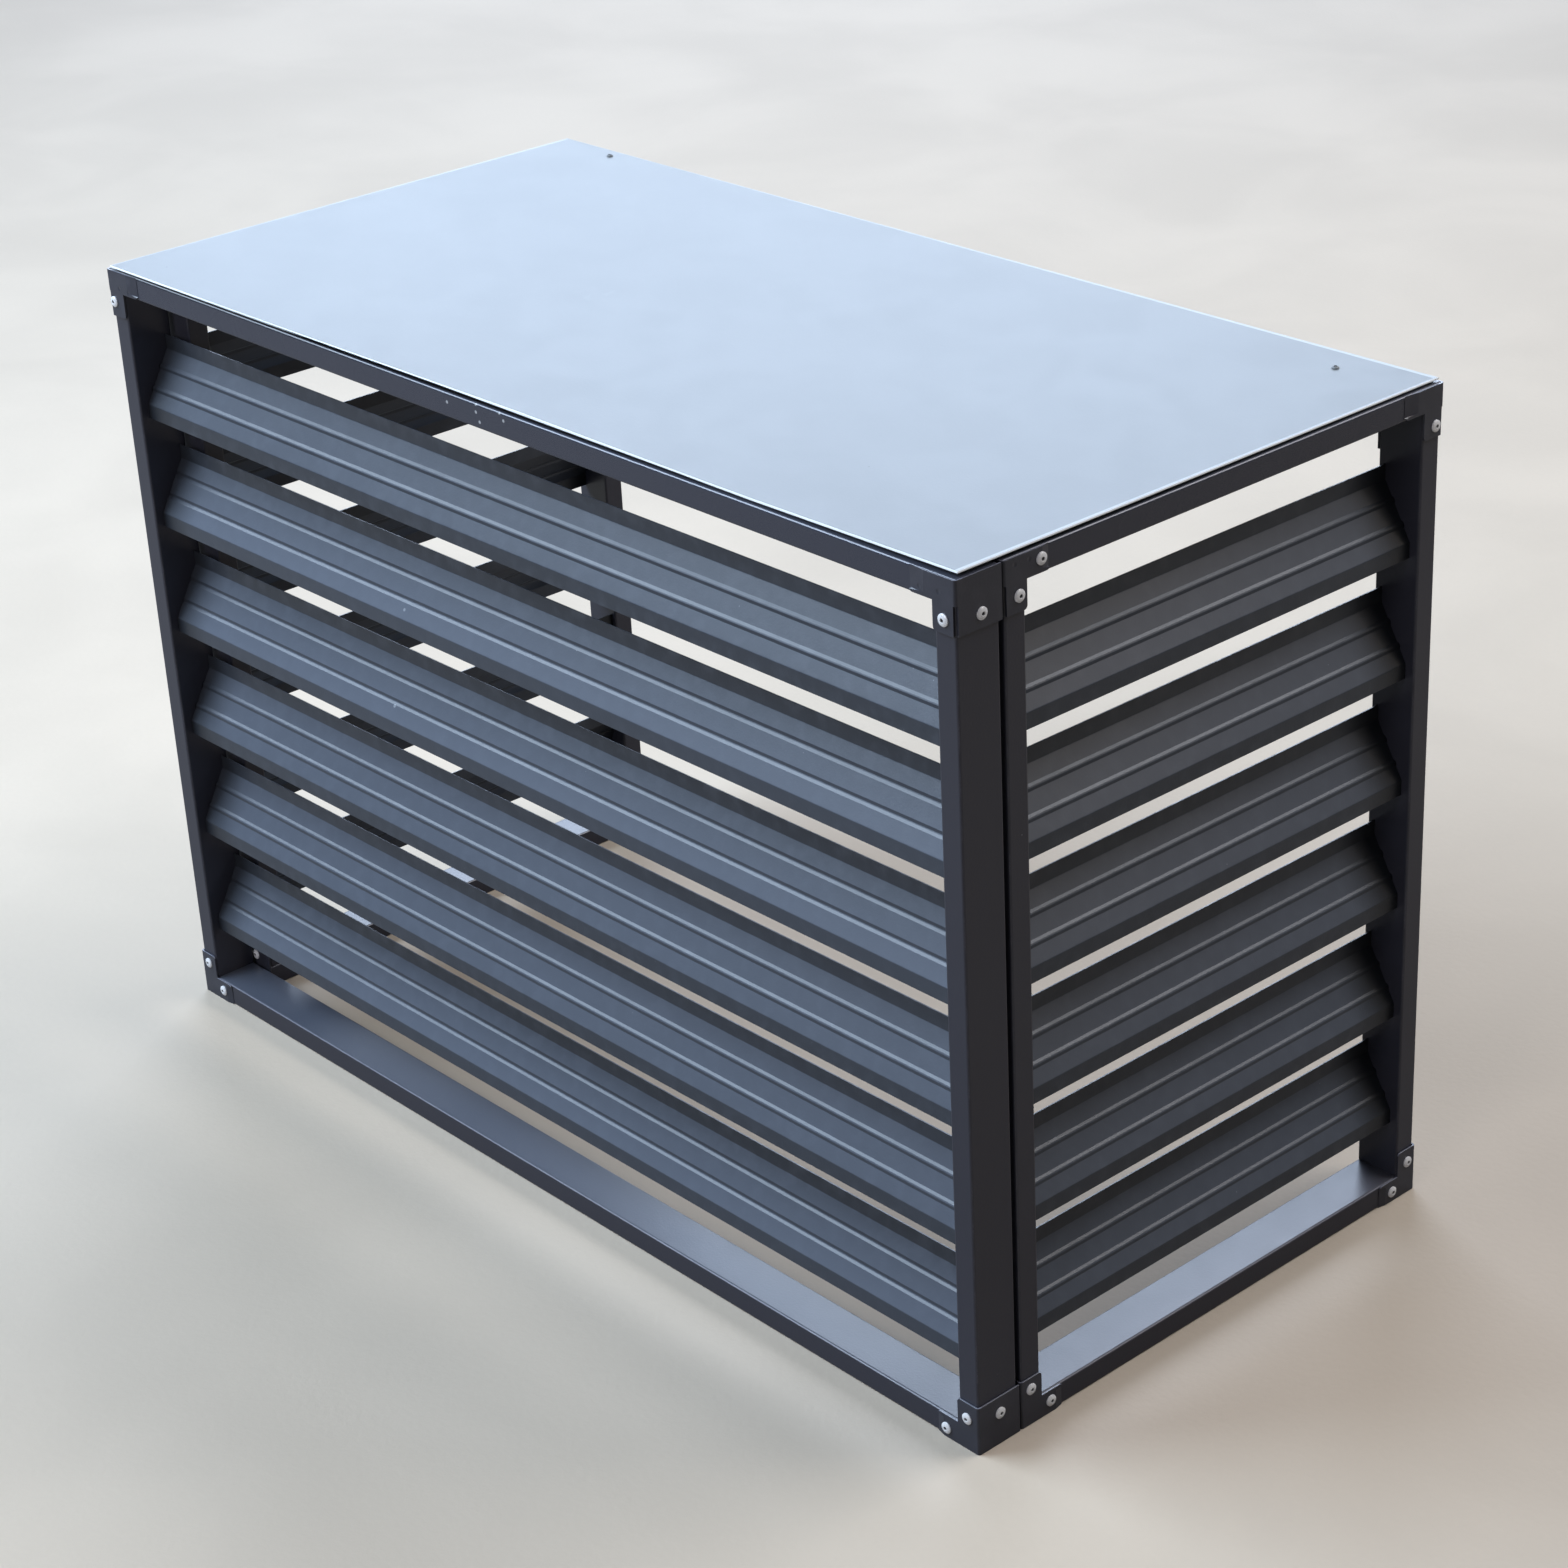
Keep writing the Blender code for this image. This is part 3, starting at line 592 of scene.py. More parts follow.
def finished_piece(name, mesh, finish, *nodes):
    """A piece at the origin with its place in its mesh, which stands for these nodes."""
    obj = added_object(name, mesh)
    coat(obj, finish)
    weighted = obj.modifiers.new("flat_faces_stay_flat", "WEIGHTED_NORMAL")
    weighted.keep_sharp = True
    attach(obj, "root")
    if nodes:
        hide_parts(*nodes)
    return obj


def smooth(mesh):
    mesh.shade_smooth()
    mesh.set_sharp_from_angle(angle=SMOOTH_ANGLE)
    return mesh


def merged_copy(node):
    """The node's mesh with its loose triangles joined and its flat faces whole."""
    bm = bmesh.new()
    bm.from_mesh(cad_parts[node].data)
    bmesh.ops.remove_doubles(bm, verts=bm.verts, dist=MERGE_DISTANCE)
    bmesh.ops.dissolve_limit(bm, angle_limit=FLAT_ANGLE, verts=bm.verts, edges=bm.edges)
    return bm


def mesh_of(bm, name):
    """The finished work as a mesh."""
    mesh = bpy.data.meshes.new(name)
    bm.to_mesh(mesh)
    bm.free()
    return mesh


def bevelled(bm, edges, offset, segments):
    return bmesh.ops.bevel(
        bm,
        geom=edges,
        offset=offset,
        segments=segments,
        profile=0.5,
        affect="EDGES",
        clamp_overlap=True,
    )


def round_edges(bm, rounding):
    """Rounds every sharp edge and marks the rounded faces for wear and a painted highlight, most
    where they face up.
    """
    sharp = []
    for edge in bm.edges:
        if len(edge.link_faces) == 2 and edge.calc_face_angle(0.0) > SMOOTH_ANGLE:
            sharp.append(edge)
    worn = bm.verts.layers.float.new("worn")
    made = bevelled(bm, sharp, rounding, EDGE_STEPS)
    bm.normal_update()
    for vert in made["verts"]:
        vert[worn] = 0.9 if vert.normal.z > 0.3 else 0.2


def rounded_piece(node, finish, rounding, reshape=None):
    """A node made again, reshaped and with its sheet edges rounded."""
    bm = merged_copy(node)
    if reshape:
        reshape(bm, node)
    if rounding:
        round_edges(bm, rounding)
    name = node + "_finished"
    mesh = mesh_of(bm, name)
    return finished_piece(name, smooth(mesh) if rounding else mesh, finish, node)


class Growth(Tree):
    """A Geometry Nodes tree with named inputs, which stands pieces at the points of a mesh."""

    def __init__(self, name):
        self.tree = bpy.data.node_groups.new(name, "GeometryNodeTree")
        self.source = self.tree.nodes.new("NodeGroupInput")
        self.result = self.tree.nodes.new("NodeGroupOutput")
        self.tree.interface.new_socket(
            name="Geometry", in_out="OUTPUT", socket_type="NodeSocketGeometry"
        )
        self.points = self.input("Geometry", "Geometry")

    def input(self, name, kind):
        """Adds a named input and gives its socket inside the tree."""
        self.tree.interface.new_socket(name=name, in_out="INPUT", socket_type="NodeSocket" + kind)
        return Value(self, self.source.outputs[name])

    def finish(self, instances, material):
        """Ends the tree: the instances become real and take the material."""
        real = self.node("GeometryNodeRealizeInstances", None, {"Geometry": instances})
        done = self.node("GeometryNodeSetMaterial", None, {"Geometry": real, "Material": material})
        self.feed(self.result.inputs[0], done)

    def mesh(self, base, values):
        """Runs the tree on the base mesh and gives the plain mesh that it makes."""
        obj = added_object(self.tree.name, base)
        modifier = obj.modifiers.new(self.tree.name, "NODES")
        modifier.node_group = self.tree
        for item in self.tree.interface.items_tree:
            if item.item_type == "SOCKET" and item.in_out == "INPUT" and item.name in values:
                modifier[item.identifier] = values[item.name]
        depsgraph = bpy.context.evaluated_depsgraph_get()
        grown = bpy.data.meshes.new_from_object(
            obj.evaluated_get(depsgraph), preserve_all_data_layers=True, depsgraph=depsgraph
        )
        obj.modifiers.remove(modifier)
        bpy.data.objects.remove(obj, do_unlink=True)
        return grown


# Slats


def filleted(path, radii, steps):
    """The open path with an arc at each inner corner, of the radius listed for it."""
    points = [path[0]]
    for before, corner, after, radius in zip(path, path[1:], path[2:], radii):
        into = (corner - before).normalized()
        out = (after - corner).normalized()
        turn = into.angle_signed(out)
        reach = radius * math.tan(abs(turn) / 2)
        side = -math.copysign(1, turn)
        centre = corner - reach * into + side * radius * Vector((-into.y, into.x))
        start = corner - reach * into - centre
        for step in range(steps + 1):
            angle = -turn * step / steps
            cosine, sine = math.cos(angle), math.sin(angle)
            arm = Vector((start.x * cosine - start.y * sine, start.x * sine + start.y * cosine))
            points.append(centre + arm)
    points.append(path[-1])
    return points


def sheet_outline(path, thickness):
    """The closed outline of a sheet whose middle line is the open path."""
    left, right = [], []
    for index, point in enumerate(path):
        normals = []
        if index > 0:
            along = (point - path[index - 1]).normalized()
            normals.append(Vector((-along.y, along.x)))
        if index < len(path) - 1:
            along = (path[index + 1] - point).normalized()
            normals.append(Vector((-along.y, along.x)))
        middle = sum(normals, Vector((0, 0))).normalized()
        offset = thickness / 2 / middle.dot(normals[0])
        left.append(point + offset * middle)
        right.append(point - offset * middle)
    return left + right[::-1]


def slat_outline(sizes, depth, height):
    """Section of a slat: an upright leg, a leaning face with two ribs, and a leg."""
    half_depth = (depth - sizes.slat_thickness) / 2
    half_height = height / 2
    upper = Vector((half_depth, half_height - sizes.slat_leg))
    lower = -upper
    face = lower - upper
    along = face.normalized()
    outward = Vector((along.y, -along.x))
    if outward.x > 0:
        outward = -outward
    path = [Vector((half_depth, half_height)), upper]
    radii = [sizes.slat_bend]
    for share in RIB_SHARES:
        middle = upper + share * face
        crest = middle + sizes.rib_height * outward
        path.append(middle - sizes.rib_width / 2 * along)
        path.append(crest - sizes.rib_crest / 2 * along)
        path.append(crest + sizes.rib_crest / 2 * along)
        path.append(middle + sizes.rib_width / 2 * along)
        radii += [sizes.rib_rounding] * 4
    path += [lower, Vector((-half_depth, -half_height))]
    radii.append(sizes.slat_bend)
    return sheet_outline(filleted(path, radii, BEND_STEPS), sizes.slat_thickness)


def ring_mesh(name, outline):
    """A closed ring of edges through the outline's points, turned as the sweep needs it."""
    mesh = bpy.data.meshes.new(name)
    verts = [(-point.x, -point.y, 0) for point in outline]
    edges = [(index, (index + 1) % len(outline)) for index in range(len(outline))]
    mesh.from_pydata(verts, edges, [])
    return mesh


def slat_growth():
    """Tree that sweeps the slat's section along its length and stands one slat at each point."""
    growth = Growth("louvre_slats")
    section = growth.input("Section", "Object")
    length = growth.input("Length", "Float")
    heading = growth.input("Heading", "Float")
    waviness = growth.input("Waviness", "Float")
    material = growth.input("Material", "Material")
    ring = growth.node("GeometryNodeObjectInfo", None, {"Object": section}, "Geometry")
    outline = growth.node("GeometryNodeMeshToCurve", None, {"Mesh": ring})
    far_end = growth.node("ShaderNodeCombineXYZ", None, {"X": length})
    line = growth.node("GeometryNodeCurvePrimitiveLine", None, {"End": far_end})
    stations = {"Curve": line, "Count": SLAT_STATIONS}
    path = growth.node("GeometryNodeResampleCurve", None, stations)
    swept = {"Curve": path, "Profile Curve": outline, "Fill Caps": True}
    sweep = growth.node("GeometryNodeCurveToMesh", None, swept)
    turned = growth.node(
        "GeometryNodeInputNamedAttribute", {"data_type": "FLOAT"}, {"Name": "turned"}
    )
    turn = growth.node("ShaderNodeCombineXYZ", None, {"X": turned * math.pi, "Z": heading})
    standing = growth.node(
        "GeometryNodeInstanceOnPoints",
        None,
        {"Points": growth.points, "Instance": sweep, "Rotation": turn},
    )
    real = growth.node("GeometryNodeRealizeInstances", None, {"Geometry": standing})
    place = growth.node("GeometryNodeInputPosition")
    stray = growth.node(
        "ShaderNodeTexNoise",
        {"noise_dimensions": "3D"},
        {"Vector": place, "Scale": 5.0, "Detail": 1.0},
        1,
    )
    centred = growth.node(
        "ShaderNodeVectorMath",
        {"operation": "SUBTRACT"},
        {"Vector": stray, "Vector_001": (0.5, 0.5, 0.5)},
    )
    offset = growth.node(
        "ShaderNodeVectorMath", {"operation": "SCALE"}, {"Vector": centred, "Scale": waviness}
    )
    wavy = growth.node("GeometryNodeSetPosition", None, {"Geometry": real, "Offset": offset})
    growth.finish(wavy, material)
    return growth


def mark_folds(mesh, limit):
    """Writes how strongly the surface turns at each point, as the attribute for wear and highlight.
    """
    bm = bmesh.new()
    bm.from_mesh(mesh)
    worn = bm.verts.layers.float.new("worn")
    for vert in bm.verts:
        turns = [edge.calc_face_angle(0.0) for edge in vert.link_edges if len(edge.link_faces) == 2]
        vert[worn] = min(1.0, max(turns, default=0.0) / limit)
    bm.to_mesh(mesh)
    bm.free()


def mark_painted_paleness(mesh, boxes, turned, painted_light):
    """Writes how much paler each point is painted, as painted light: the slat's own amount, or
    rising downwards if turned.
    """
    bleached = mesh.attributes.new("bleached", "FLOAT", "POINT")
    values = []
    for vert in mesh.vertices:
        place = min(range(len(boxes)), key=lambda index: abs(sum(boxes[index]) / 2 - vert.co.z))
        low, high = boxes[place]
        share = min(1.0, max(0.0, 1.5 * (high - vert.co.z) / (high - low) - 0.25))
        values.append(share if place + 1 in turned else painted_light[place])
    bleached.data.foreach_set("value", values)


def build_slats():
    """The ribbed slats of the three panels."""
    sizes = bpy.context.scene.screen_sizes
    growth = slat_growth()
    low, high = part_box("front_panel_slat_1")
    ring = ring_mesh("slat_section", slat_outline(sizes, high.y - low.y, high.z - low.z))
    section = added_object("slat_section", ring)
    numbers = range(1, SLATS_PER_PANEL + 1)
    for panel, heading in HEADINGS.items():
        nodes = [f"{panel}_slat_{number}" for number in numbers]
        boxes = [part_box(node) for node in nodes]
        low, high = boxes[0]
        length = high.y - low.y if heading else high.x - low.x
        base = bpy.data.meshes.new(panel + "_slat_places")
        places = []
        for low, high in boxes:
            middle = (low + high) / 2
            ends = {"front_panel": (low.x, middle.y), "right_panel": (middle.x, low.y)}
            x, y = ends.get(panel, (middle.x, high.y))
            places.append((x, y, middle.z))
        base.from_pydata(places, [], [])
        turned = base.attributes.new("turned", "FLOAT", "POINT")
        flags = [float(number in TURNED_SLATS[panel]) for number in numbers]
        turned.data.foreach_set("value", flags)
        mesh = growth.mesh(
            base,
            {
                "Section": section,
                "Length": length,
                "Heading": heading,
                "Waviness": sizes.slat_waviness,
                "Material": COATS["slat"].material,
            },
        )
        mark_folds(mesh, FOLD_ANGLE)
        # Painted light: the top slat of each panel is paled by its own amount
        painted_light = [TOP_SLAT_PAINTED_LIGHT[panel]] + [SLAT_PAINTED_LIGHT] * (SLATS_PER_PANEL - 1)
        heights = [(low.z, high.z) for low, high in boxes]
        mark_painted_paleness(mesh, heights, TURNED_SLATS[panel], painted_light)
        finished_piece(panel + "_slats", smooth(mesh), COATS["slat"], *nodes)
    bpy.data.objects.remove(section, do_unlink=True)


# Plate and brackets


def round_rim(bm, _node):
    """Gives the upper edge of the plate's outline its bend."""
    rim = []
    for edge in bm.edges:
        if edge.calc_length() > 15 * MM and edge.calc_face_angle(0.0) > SMOOTH_ANGLE:
            if max(face.normal.z for face in edge.link_faces) > 0.7:
                rim.append(edge)
    bevelled(bm, rim, PLATE_RIM, BEND_STEPS)


def drop_rail(bm, _node):
    """Sets a top rail a little lower, so that the dark gap under the plate shows."""
    for vert in bm.verts:
        vert.co.z -= TOP_DROP


def ease_arm(bm, node):
    """Slopes the end of a bracket's level arm and brings a top bracket down to its rail."""
    low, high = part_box(node)
    along = 0 if node.startswith("front") else 1
    outer_axis = 1 - along
    outer = high.x if node.startswith("right") else (low.x if node.startswith("left") else low.y)
    starts_low = "left_bracket" in node or "front_bracket" in node
    end = high[along] if starts_low else low[along]
    slope = ARM_SLOPE if len(RIVETS[node]) > 1 else 2 * ARM_SLOPE
    for vert in bm.verts:
        if "_top_" in node and high.z - vert.co.z < NEAR:
            vert.co.z -= TOP_DROP
        if abs(vert.co[along] - end) < NEAR and abs(vert.co[outer_axis] - outer) < NEAR:
            vert.co[along] += -slope if starts_low else slope


# Rivets and screws


def head_growth(name):
    """Tree for round heads: a dome with a hollow in its middle, one at each point."""
    growth = Growth(name)
    diameter = growth.input("Head Diameter", "Float")
    height = growth.input("Head Height", "Float")
    hole = growth.input("Hole Diameter", "Float")
    depth = growth.input("Hole Depth", "Float")
    material = growth.input("Material", "Material")
    radius = diameter / 2.0
    drum_sockets = {
        "Vertices": HEAD_SIDES,
        "Side Segments": 1,
        "Fill Segments": HEAD_RINGS,
        "Radius": radius,
        "Depth": 1.0,
    }
    drum = growth.node("GeometryNodeMeshCylinder", {"fill_type": "TRIANGLE_FAN"}, drum_sockets)
    place = growth.node("GeometryNodeInputPosition")
    x, y, z = (growth.channel(place, index) for index in range(3))
    flat = growth.node("ShaderNodeCombineXYZ", None, {"X": x, "Y": y})
    reach = growth.node("ShaderNodeVectorMath", {"operation": "LENGTH"}, {"Vector": flat}, "Value")
    share = reach / radius
    on_top = z > 0.0
    dome = (1 - 0.80 * share**2.2) ** 0.55
    hole_share = hole / diameter
    hollow = 1 - share.ramp(hole_share * 0.86, hole_share * 1.16)
    level = (dome * height - hollow * depth) * on_top
    shaped = growth.node("ShaderNodeCombineXYZ", None, {"X": x, "Y": y, "Z": level})
    # The hole is marked hollow, to take painted shade
    marked = growth.node(
        "GeometryNodeStoreNamedAttribute",
        {"data_type": "FLOAT", "domain": "POINT"},
        {"Geometry": drum, "Name": "hollow", "Value": hollow * on_top},
    )
    head = growth.node("GeometryNodeSetPosition", None, {"Geometry": marked, "Position": shaped})
    facing = growth.node(
        "GeometryNodeInputNamedAttribute", {"data_type": "FLOAT_VECTOR"}, {"Name": "facing"}
    )
    turn = growth.node("FunctionNodeAlignRotationToVector", {"axis": "Z"}, {"Vector": facing})
    heads = growth.node(
        "GeometryNodeInstanceOnPoints",
        None,
        {"Points": growth.points, "Instance": head, "Rotation": turn},
    )
    growth.finish(heads, material)
    return growth


def points_mesh(name, places):
    """Points with a facing for each, from (place, facing) pairs."""
    mesh = bpy.data.meshes.new(name)
    mesh.from_pydata([tuple(place) for place, _ in places], [], [])
    facing = mesh.attributes.new("facing", "FLOAT_VECTOR", "POINT")
    facing.data.foreach_set("vector", [part for _, way in places for part in way])
    return mesh


RIVETS = {
    "front_panel_top_left_bracket": ((5.5, 29.0),),
    "front_panel_top_right_bracket": ((9.8, 31.9),),
    "front_panel_bottom_left_bracket": ((9.9, 32.5), (29.7, 10.5)),
    "front_panel_bottom_right_bracket": ((9.9, 28.2), (32.2, 8.6)),
    "right_panel_top_front_bracket": ((12.6, 30.1), (33.8, 9.9)),
    "right_panel_bottom_front_bracket": ((8.6, 32.1), (29.4, 11.0)),
    "right_panel_top_rear_bracket": ((7.0, 33.0),),
    "right_panel_bottom_rear_bracket": ((8.4, 29.9), (26.9, 9.4)),
    "left_panel_top_front_bracket": ((10.0, 31.0), (32.6, 10.0)),
    "left_panel_bottom_front_bracket": ((9.4, 30.4), (30.8, 9.6)),
    "left_panel_top_rear_bracket": ((9.0, 32.0),),
    "left_panel_bottom_rear_bracket": ((9.8, 29.6), (30.0, 9.8)),
}
FLANGE_RIVETS = {"top": (22.0, 31.3), "bottom": (20.7, 27.8)}


def bracket_rivets(node):
    """Places and facings of one bracket's rivets, counted from its panel's outer corner."""
    low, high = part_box(node)
    panel = node[: node.index("_panel") + len("_panel")]
    level = "top" if "_top_" in node else "bottom"
    foot, up = (high.z, -1) if level == "top" else (low.z, 1)
    if panel == "front_panel":
        way = 1 if node.endswith("left_bracket") else -1
        corner = Vector((low.x if way > 0 else high.x, low.y, foot))
        along, outward = Vector((way, 0, 0)), Vector((0, -1, 0))
    else:
        out = 1 if panel == "right_panel" else -1
        way = 1 if node.endswith("front_bracket") else -1
        corner = Vector((high.x if out > 0 else low.x, low.y if way > 0 else high.y, foot))
        along, outward = Vector((0, way, 0)), Vector((out, 0, 0))
    places = [(along, reach, height, outward) for reach, height in RIVETS[node]]
    places.append((-outward, *FLANGE_RIVETS[level], -along))
    return [
        (corner + (reach * MM + BRACKET_SHEET) * run + Vector((0, 0, up * height * MM)), facing)
        for run, reach, height, facing in places
    ]


def build_rivets():
    """The silver blind rivets through the corner brackets."""
    sizes = bpy.context.scene.screen_sizes
    places = [rivet for node in RIVETS for rivet in bracket_rivets(node)]
    mesh = head_growth("blind_rivets").mesh(
        points_mesh("rivet_places", places),
        {
            "Head Diameter": sizes.rivet_diameter,
            "Head Height": sizes.rivet_height,
            "Hole Diameter": sizes.rivet_hole,
            "Hole Depth": sizes.rivet_height * 0.62,
            "Material": COATS["zinc"].material,
        },
    )
    finished_piece("blind_rivets", smooth(mesh), COATS["zinc"])


def cross_recessed(node, finish, axis, slimness=1.0):
    """A screw or bolt made again along its axis, with a cross recess in its head."""
    width = bpy.context.scene.screen_sizes.recess_width
    others = [index for index in range(3) if index != axis]
    bm = merged_copy(node)
    round_edges(bm, FASTENER_ROUNDING)
    low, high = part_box(node)
    middle = (low + high) / 2
    for vert in bm.verts:
        for index in others:
            vert.co[index] = middle[index] + slimness * (vert.co[index] - middle[index])
    top = high[axis]
    head = slimness * max(high[index] - low[index] for index in others)
    centre = middle.copy()
    centre[axis] = top
    name = node + "_finished"
    obj = added_object(name, mesh_of(bm, name))
    cutters = []
    for index in others:
        size = Vector((width,) * 3)
        size[index] = head * RECESS_SPAN
        size[axis] = 2 * width
        cut = bmesh.new()
        bmesh.ops.create_cube(cut, size=1.0)
        bmesh.ops.scale(cut, vec=size, verts=cut.verts)
        bmesh.ops.translate(cut, vec=centre, verts=cut.verts)
        cutter = added_object("recess", mesh_of(cut, "recess"))
        modifier = obj.modifiers.new("recess", "BOOLEAN")
        modifier.solver = "EXACT"
        modifier.object = cutter
        cutters.append(cutter)
    depsgraph = bpy.context.evaluated_depsgraph_get()
    mesh = bpy.data.meshes.new_from_object(obj.evaluated_get(depsgraph), depsgraph=depsgraph)
    for spare in [obj] + cutters:
        bpy.data.objects.remove(spare, do_unlink=True)
    # The middle of the recess is marked hollow, to take painted shade
    hollow = mesh.attributes.new("hollow", "FLOAT", "POINT")
    depths = []
    for vert in mesh.vertices:
        across = vert.co - middle
        across[axis] = 0
        sunk = top - vert.co[axis] > 0.4 * width
        depths.append(float(sunk and across.length < head * RECESS_DARK_SPAN))
    hollow.data.foreach_set("value", depths)
    return finished_piece(name, smooth(mesh), finish, node)


# Operators


class SCREEN_OT_coats(bpy.types.Operator):
    """Makes the coats and metals, coats the tubes and sets the top rails in place"""

    bl_idname = "screen.coats"
    bl_label = "Coats and tubes"

    def execute(self, context):
        make_coats()
        for name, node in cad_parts.items():
            if name.endswith("_top_rail"):
                rounded_piece(name, COATS["fascia"], None, drop_rail)
            elif name.endswith("_post") or name.endswith("_rail"):
                finish = COATS.get(name.replace("_bottom_rail", "_sill"), COATS["frame"])
                node.data.materials.clear()
                node.data.materials.append(finish.material)
        return {"FINISHED"}


class SCREEN_OT_slats(bpy.types.Operator):
    """Builds the ribbed slats of the three panels"""

    bl_idname = "screen.slats"
    bl_label = "Slats"

    def execute(self, context):
        build_slats()
        return {"FINISHED"}


class SCREEN_OT_brackets(bpy.types.Operator):
    """Builds the folded corner brackets and the angles at the back"""

    bl_idname = "screen.brackets"
    bl_label = "Brackets and angles"

    def execute(self, context):
        rounding = context.scene.screen_sizes.edge_rounding
        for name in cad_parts:
            if name.endswith("_bracket") or name.endswith("_angle"):
                reshape = ease_arm if name.endswith("_bracket") else None
                rounded_piece(name, COATS["bracket"], rounding, reshape)
        return {"FINISHED"}


class SCREEN_OT_plate(bpy.types.Operator):
    """Builds the top plate with its rim bent and its edges rounded"""

    bl_idname = "screen.plate"
    bl_label = "Top plate"

    def execute(self, context):
        rounded_piece("top_plate", COATS["plate"], PLATE_EDGE_ROUNDING, round_rim)
        return {"FINISHED"}


class SCREEN_OT_rivets(bpy.types.Operator):
    """Sets the blind rivets in the brackets"""

    bl_idname = "screen.rivets"
    bl_label = "Rivets"

    def execute(self, context):
        build_rivets()
        return {"FINISHED"}


class SCREEN_OT_fasteners(bpy.types.Operator):
    """Builds the plate's screws, the joining bolts and their threaded inserts"""

    bl_idname = "screen.fasteners"
    bl_label = "Screws and bolts"

    def execute(self, context):
        for name in sorted(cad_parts):
            if name.endswith("_plate_screw"):
                cross_recessed(name, COATS["screw"], 2, SCREW_SLIMNESS)
            elif name.endswith("_joining_bolt"):
                cross_recessed(name, COATS["zinc"], 1)
            elif name.endswith("_threaded_insert"):
                rounded_piece(name, COATS["zinc"], FASTENER_ROUNDING)
        return {"FINISHED"}


class SCREEN_OT_stage(bpy.types.Operator):
    """Sets the camera, the pale floor and the soft lights"""

    bl_idname = "screen.stage"
    bl_label = "Stage"

    def execute(self, context):
        place_camera(context.scene.screen_stage)
        lay_floor(context.scene.screen_colours)
        light_room(context.scene.screen_stage)
        return {"FINISHED"}


def place_camera(stage):
    """The camera that took the picture, as solved from the frame's corners."""
    data = bpy.data.cameras.new("camera")
    camera = added_object("camera", data)
    data.sensor_width = 36
    data.lens = stage.lens
    data.shift_x, data.shift_y = stage.shift
    data.clip_start = 0.05
    data.clip_end = 200
    camera.location = stage.eye
    camera.rotation_euler = stage.turn
    bpy.context.scene.camera = camera
    bpy.context.scene.view_settings.view_transform = "Standard"


def lay_floor(colours):
    """A wide pale floor with a faint mottle."""
    mesh = bpy.data.meshes.new("floor")
    half = 30.0
    corners = [(-half, -half, 0), (half, -half, 0), (half, half, 0), (-half, half, 0)]
    mesh.from_pydata(corners, [], [(0, 1, 2, 3)])
    floor = added_object("floor", mesh)
    finish = Finish("pale_floor", None)
    mottle = finish.noise(2.4, 5.0, 0.4)
    grain = finish.noise(160.0, 3.0)
    tones = tinted(colours.floor, 0.94), tinted(colours.floor, 1.04)
    body = finish.mixed(mottle.ramp(0.3, 0.7), *tones)
    body = finish.mixed(grain * 0.08, body, tinted(colours.floor, 0.7))
    seen = finish.node("ShaderNodeLightPath", output="Is Camera Ray")
    finish.set("Base Color", finish.mixed(seen, tinted(colours.floor, 0.42), body))
    finish.set("Roughness", 0.86)
    finish.bump(grain, 0.0003)
    mesh.materials.append(finish.material)


def area_light(name, power, size, place, aim, colour):
    """A soft rectangular light that points at a place."""
    data = bpy.data.lights.new(name, "AREA")
    data.energy = power
    data.shape = "RECTANGLE"
    data.size, data.size_y = size
    data.color = colour
    light = added_object(name, data)
    light.location = place
    light.rotation_euler = (Vector(aim) - Vector(place)).to_track_quat("-Z", "Y").to_euler()


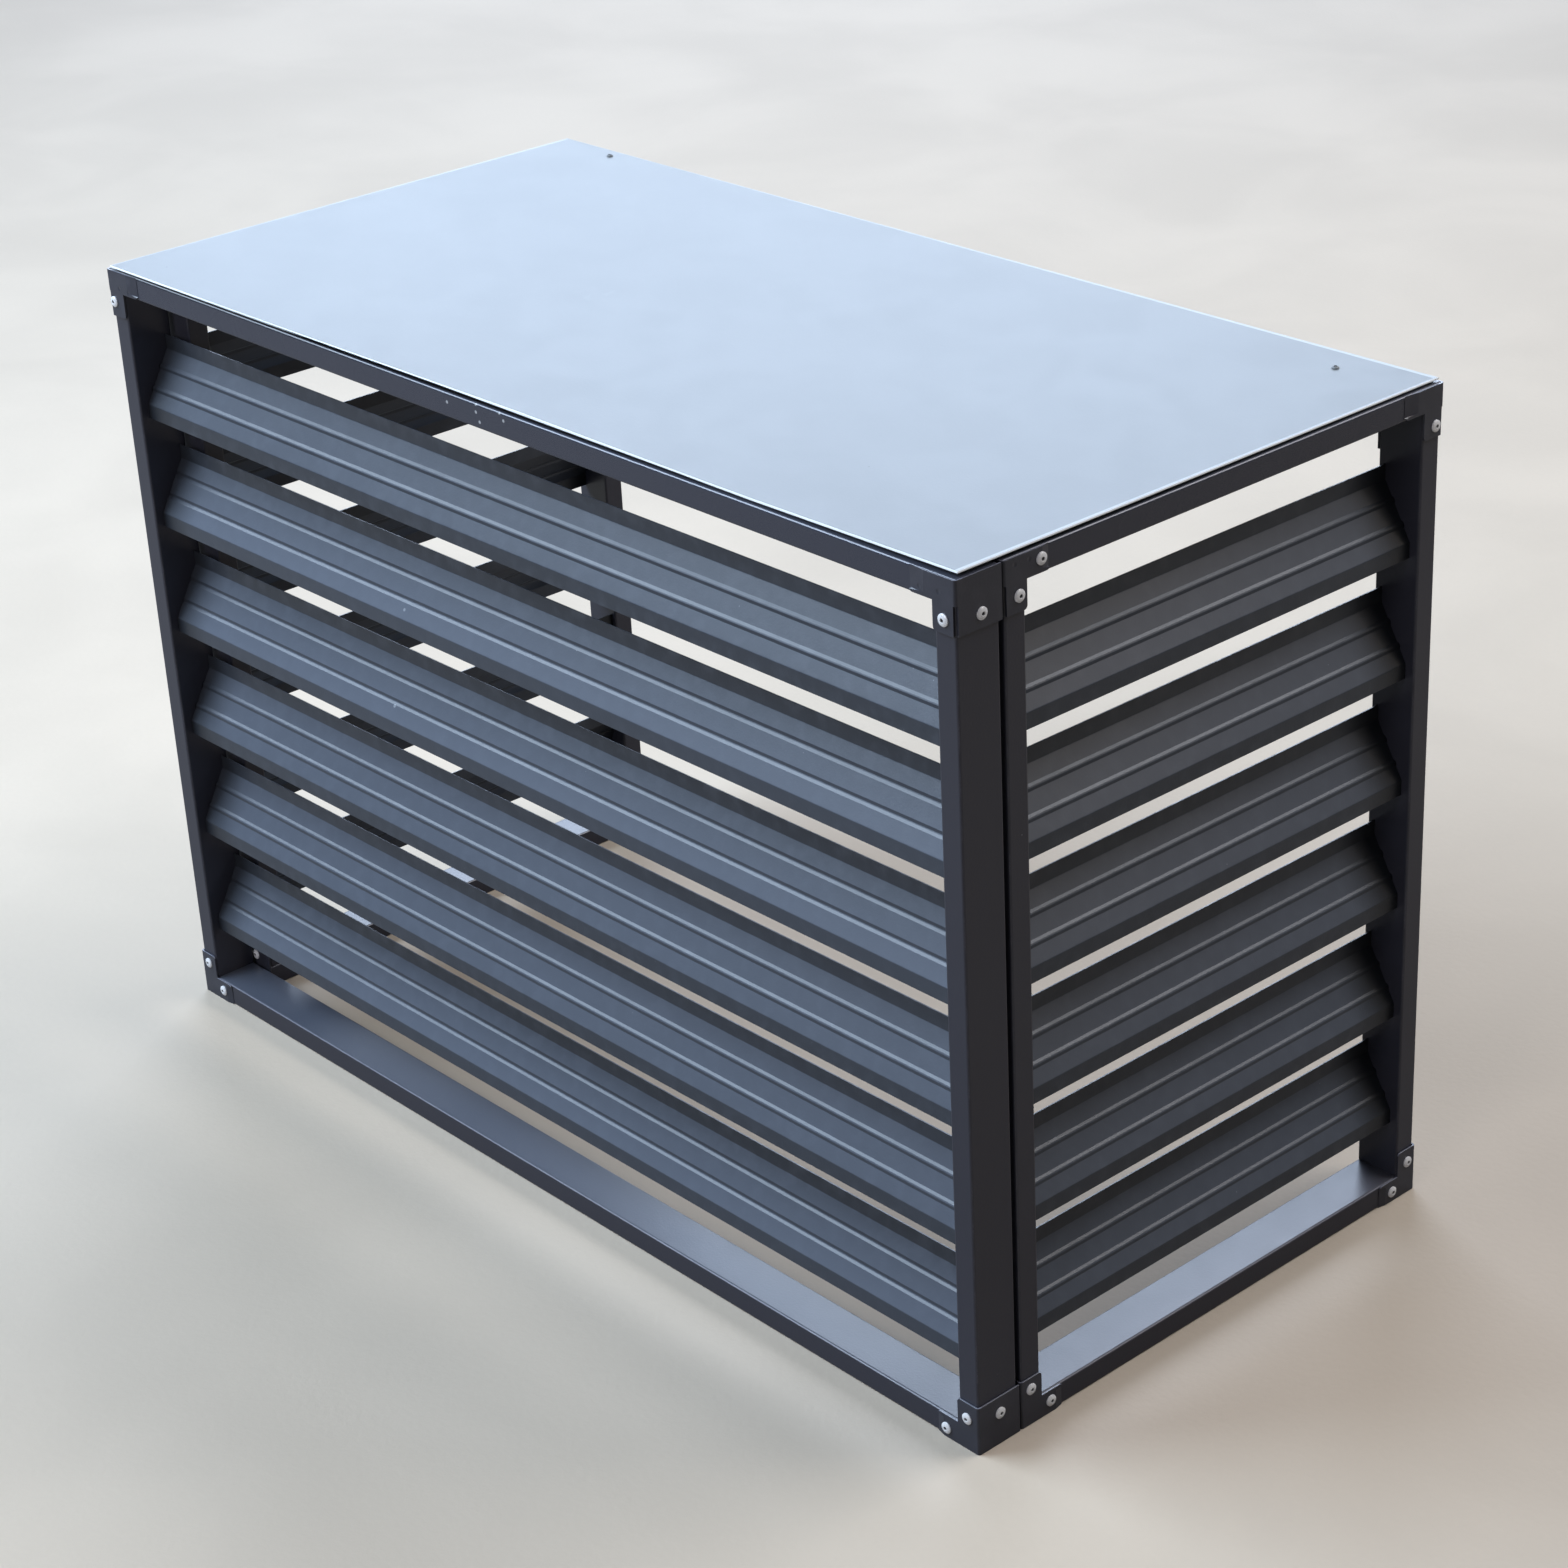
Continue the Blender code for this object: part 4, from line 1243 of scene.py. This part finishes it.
def light_room(stage):
    """A dim room seen as a pale one, with a cool key at the front left and soft lights round it."""
    world = bpy.data.worlds.new("room")
    bpy.context.scene.world = world
    world.use_nodes = True
    tree = world.node_tree
    background = tree.nodes["Background"]
    background.inputs["Color"].default_value = (1.0, 0.965, 0.92, 1)
    # The camera sees the room brighter than the light that it gives
    path = tree.nodes.new("ShaderNodeLightPath")
    level = tree.nodes.new("ShaderNodeMapRange")
    level.inputs["To Min"].default_value = stage.world_level
    level.inputs["To Max"].default_value = 0.86
    tree.links.new(path.outputs["Is Camera Ray"], level.inputs["Value"])
    tree.links.new(level.outputs["Result"], background.inputs["Strength"])
    body = (0, 0, 0.4)
    lights = {
        "key": (stage.key_power, (3.0, 2.4), (-2.2, -1.9, 3.0), body, (0.69, 0.84, 1.0)),
        "high_sheet": (stage.sky_power, (4.0, 3.0), (-4.2, 3.7, 3.4), body, (0.68, 0.80, 1.0)),
        "back_sheet": (stage.back_power, (3.0, 2.4), (1.4, 2.5, 3.6), body, (0.99, 0.98, 0.99)),
        "far_front": (
            stage.front_power, (3.0, 2.2), (0.6, -4.6, 2.6), (0, 0, 0.3), (1.0, 0.95, 0.99)
        ),
        "fill": (
            stage.fill_power, (1.2, 1.2), (2.6, 1.5, 1.9), (0.5, 0.1, 0.4), (1.0, 0.86, 0.72)
        ),
    }
    for name, settings in lights.items():
        area_light(name, *settings)


OPERATORS = (
    SCREEN_OT_stage,
    SCREEN_OT_coats,
    SCREEN_OT_slats,
    SCREEN_OT_brackets,
    SCREEN_OT_plate,
    SCREEN_OT_rivets,
    SCREEN_OT_fasteners,
)


class SCREEN_PT_panel(bpy.types.Panel):
    """Lists the steps that dress the screen"""

    bl_idname = "SCREEN_PT_panel"
    bl_label = "Louvred screen"
    bl_space_type = "VIEW_3D"
    bl_region_type = "UI"
    bl_category = "Louvred screen"

    def draw(self, context):
        for operator in OPERATORS:
            self.layout.operator(operator.bl_idname)
        for owner in GROUPS:
            group = getattr(context.scene, owner)
            box = self.layout.box()
            for name in group.__annotations__:
                box.prop(group, name)


GROUPS = {
    "screen_sizes": ScreenSizes,
    "screen_colours": ScreenColours,
    "screen_stage": ScreenStage,
}


def register():
    for name, group in GROUPS.items():
        bpy.utils.register_class(group)
        setattr(bpy.types.Scene, name, PointerProperty(type=group))
    for operator in OPERATORS:
        bpy.utils.register_class(operator)
    bpy.utils.register_class(SCREEN_PT_panel)


def unregister():
    bpy.utils.unregister_class(SCREEN_PT_panel)
    for operator in reversed(OPERATORS):
        bpy.utils.unregister_class(operator)
    for name, group in GROUPS.items():
        delattr(bpy.types.Scene, name)
        bpy.utils.unregister_class(group)


def main():
    """Builds the dressed screen."""
    register()
    bpy.ops.screen.stage()
    bpy.ops.screen.coats()
    bpy.ops.screen.slats()
    bpy.ops.screen.brackets()
    bpy.ops.screen.plate()
    bpy.ops.screen.rivets()
    bpy.ops.screen.fasteners()


if __name__ == "__main__":
    main()
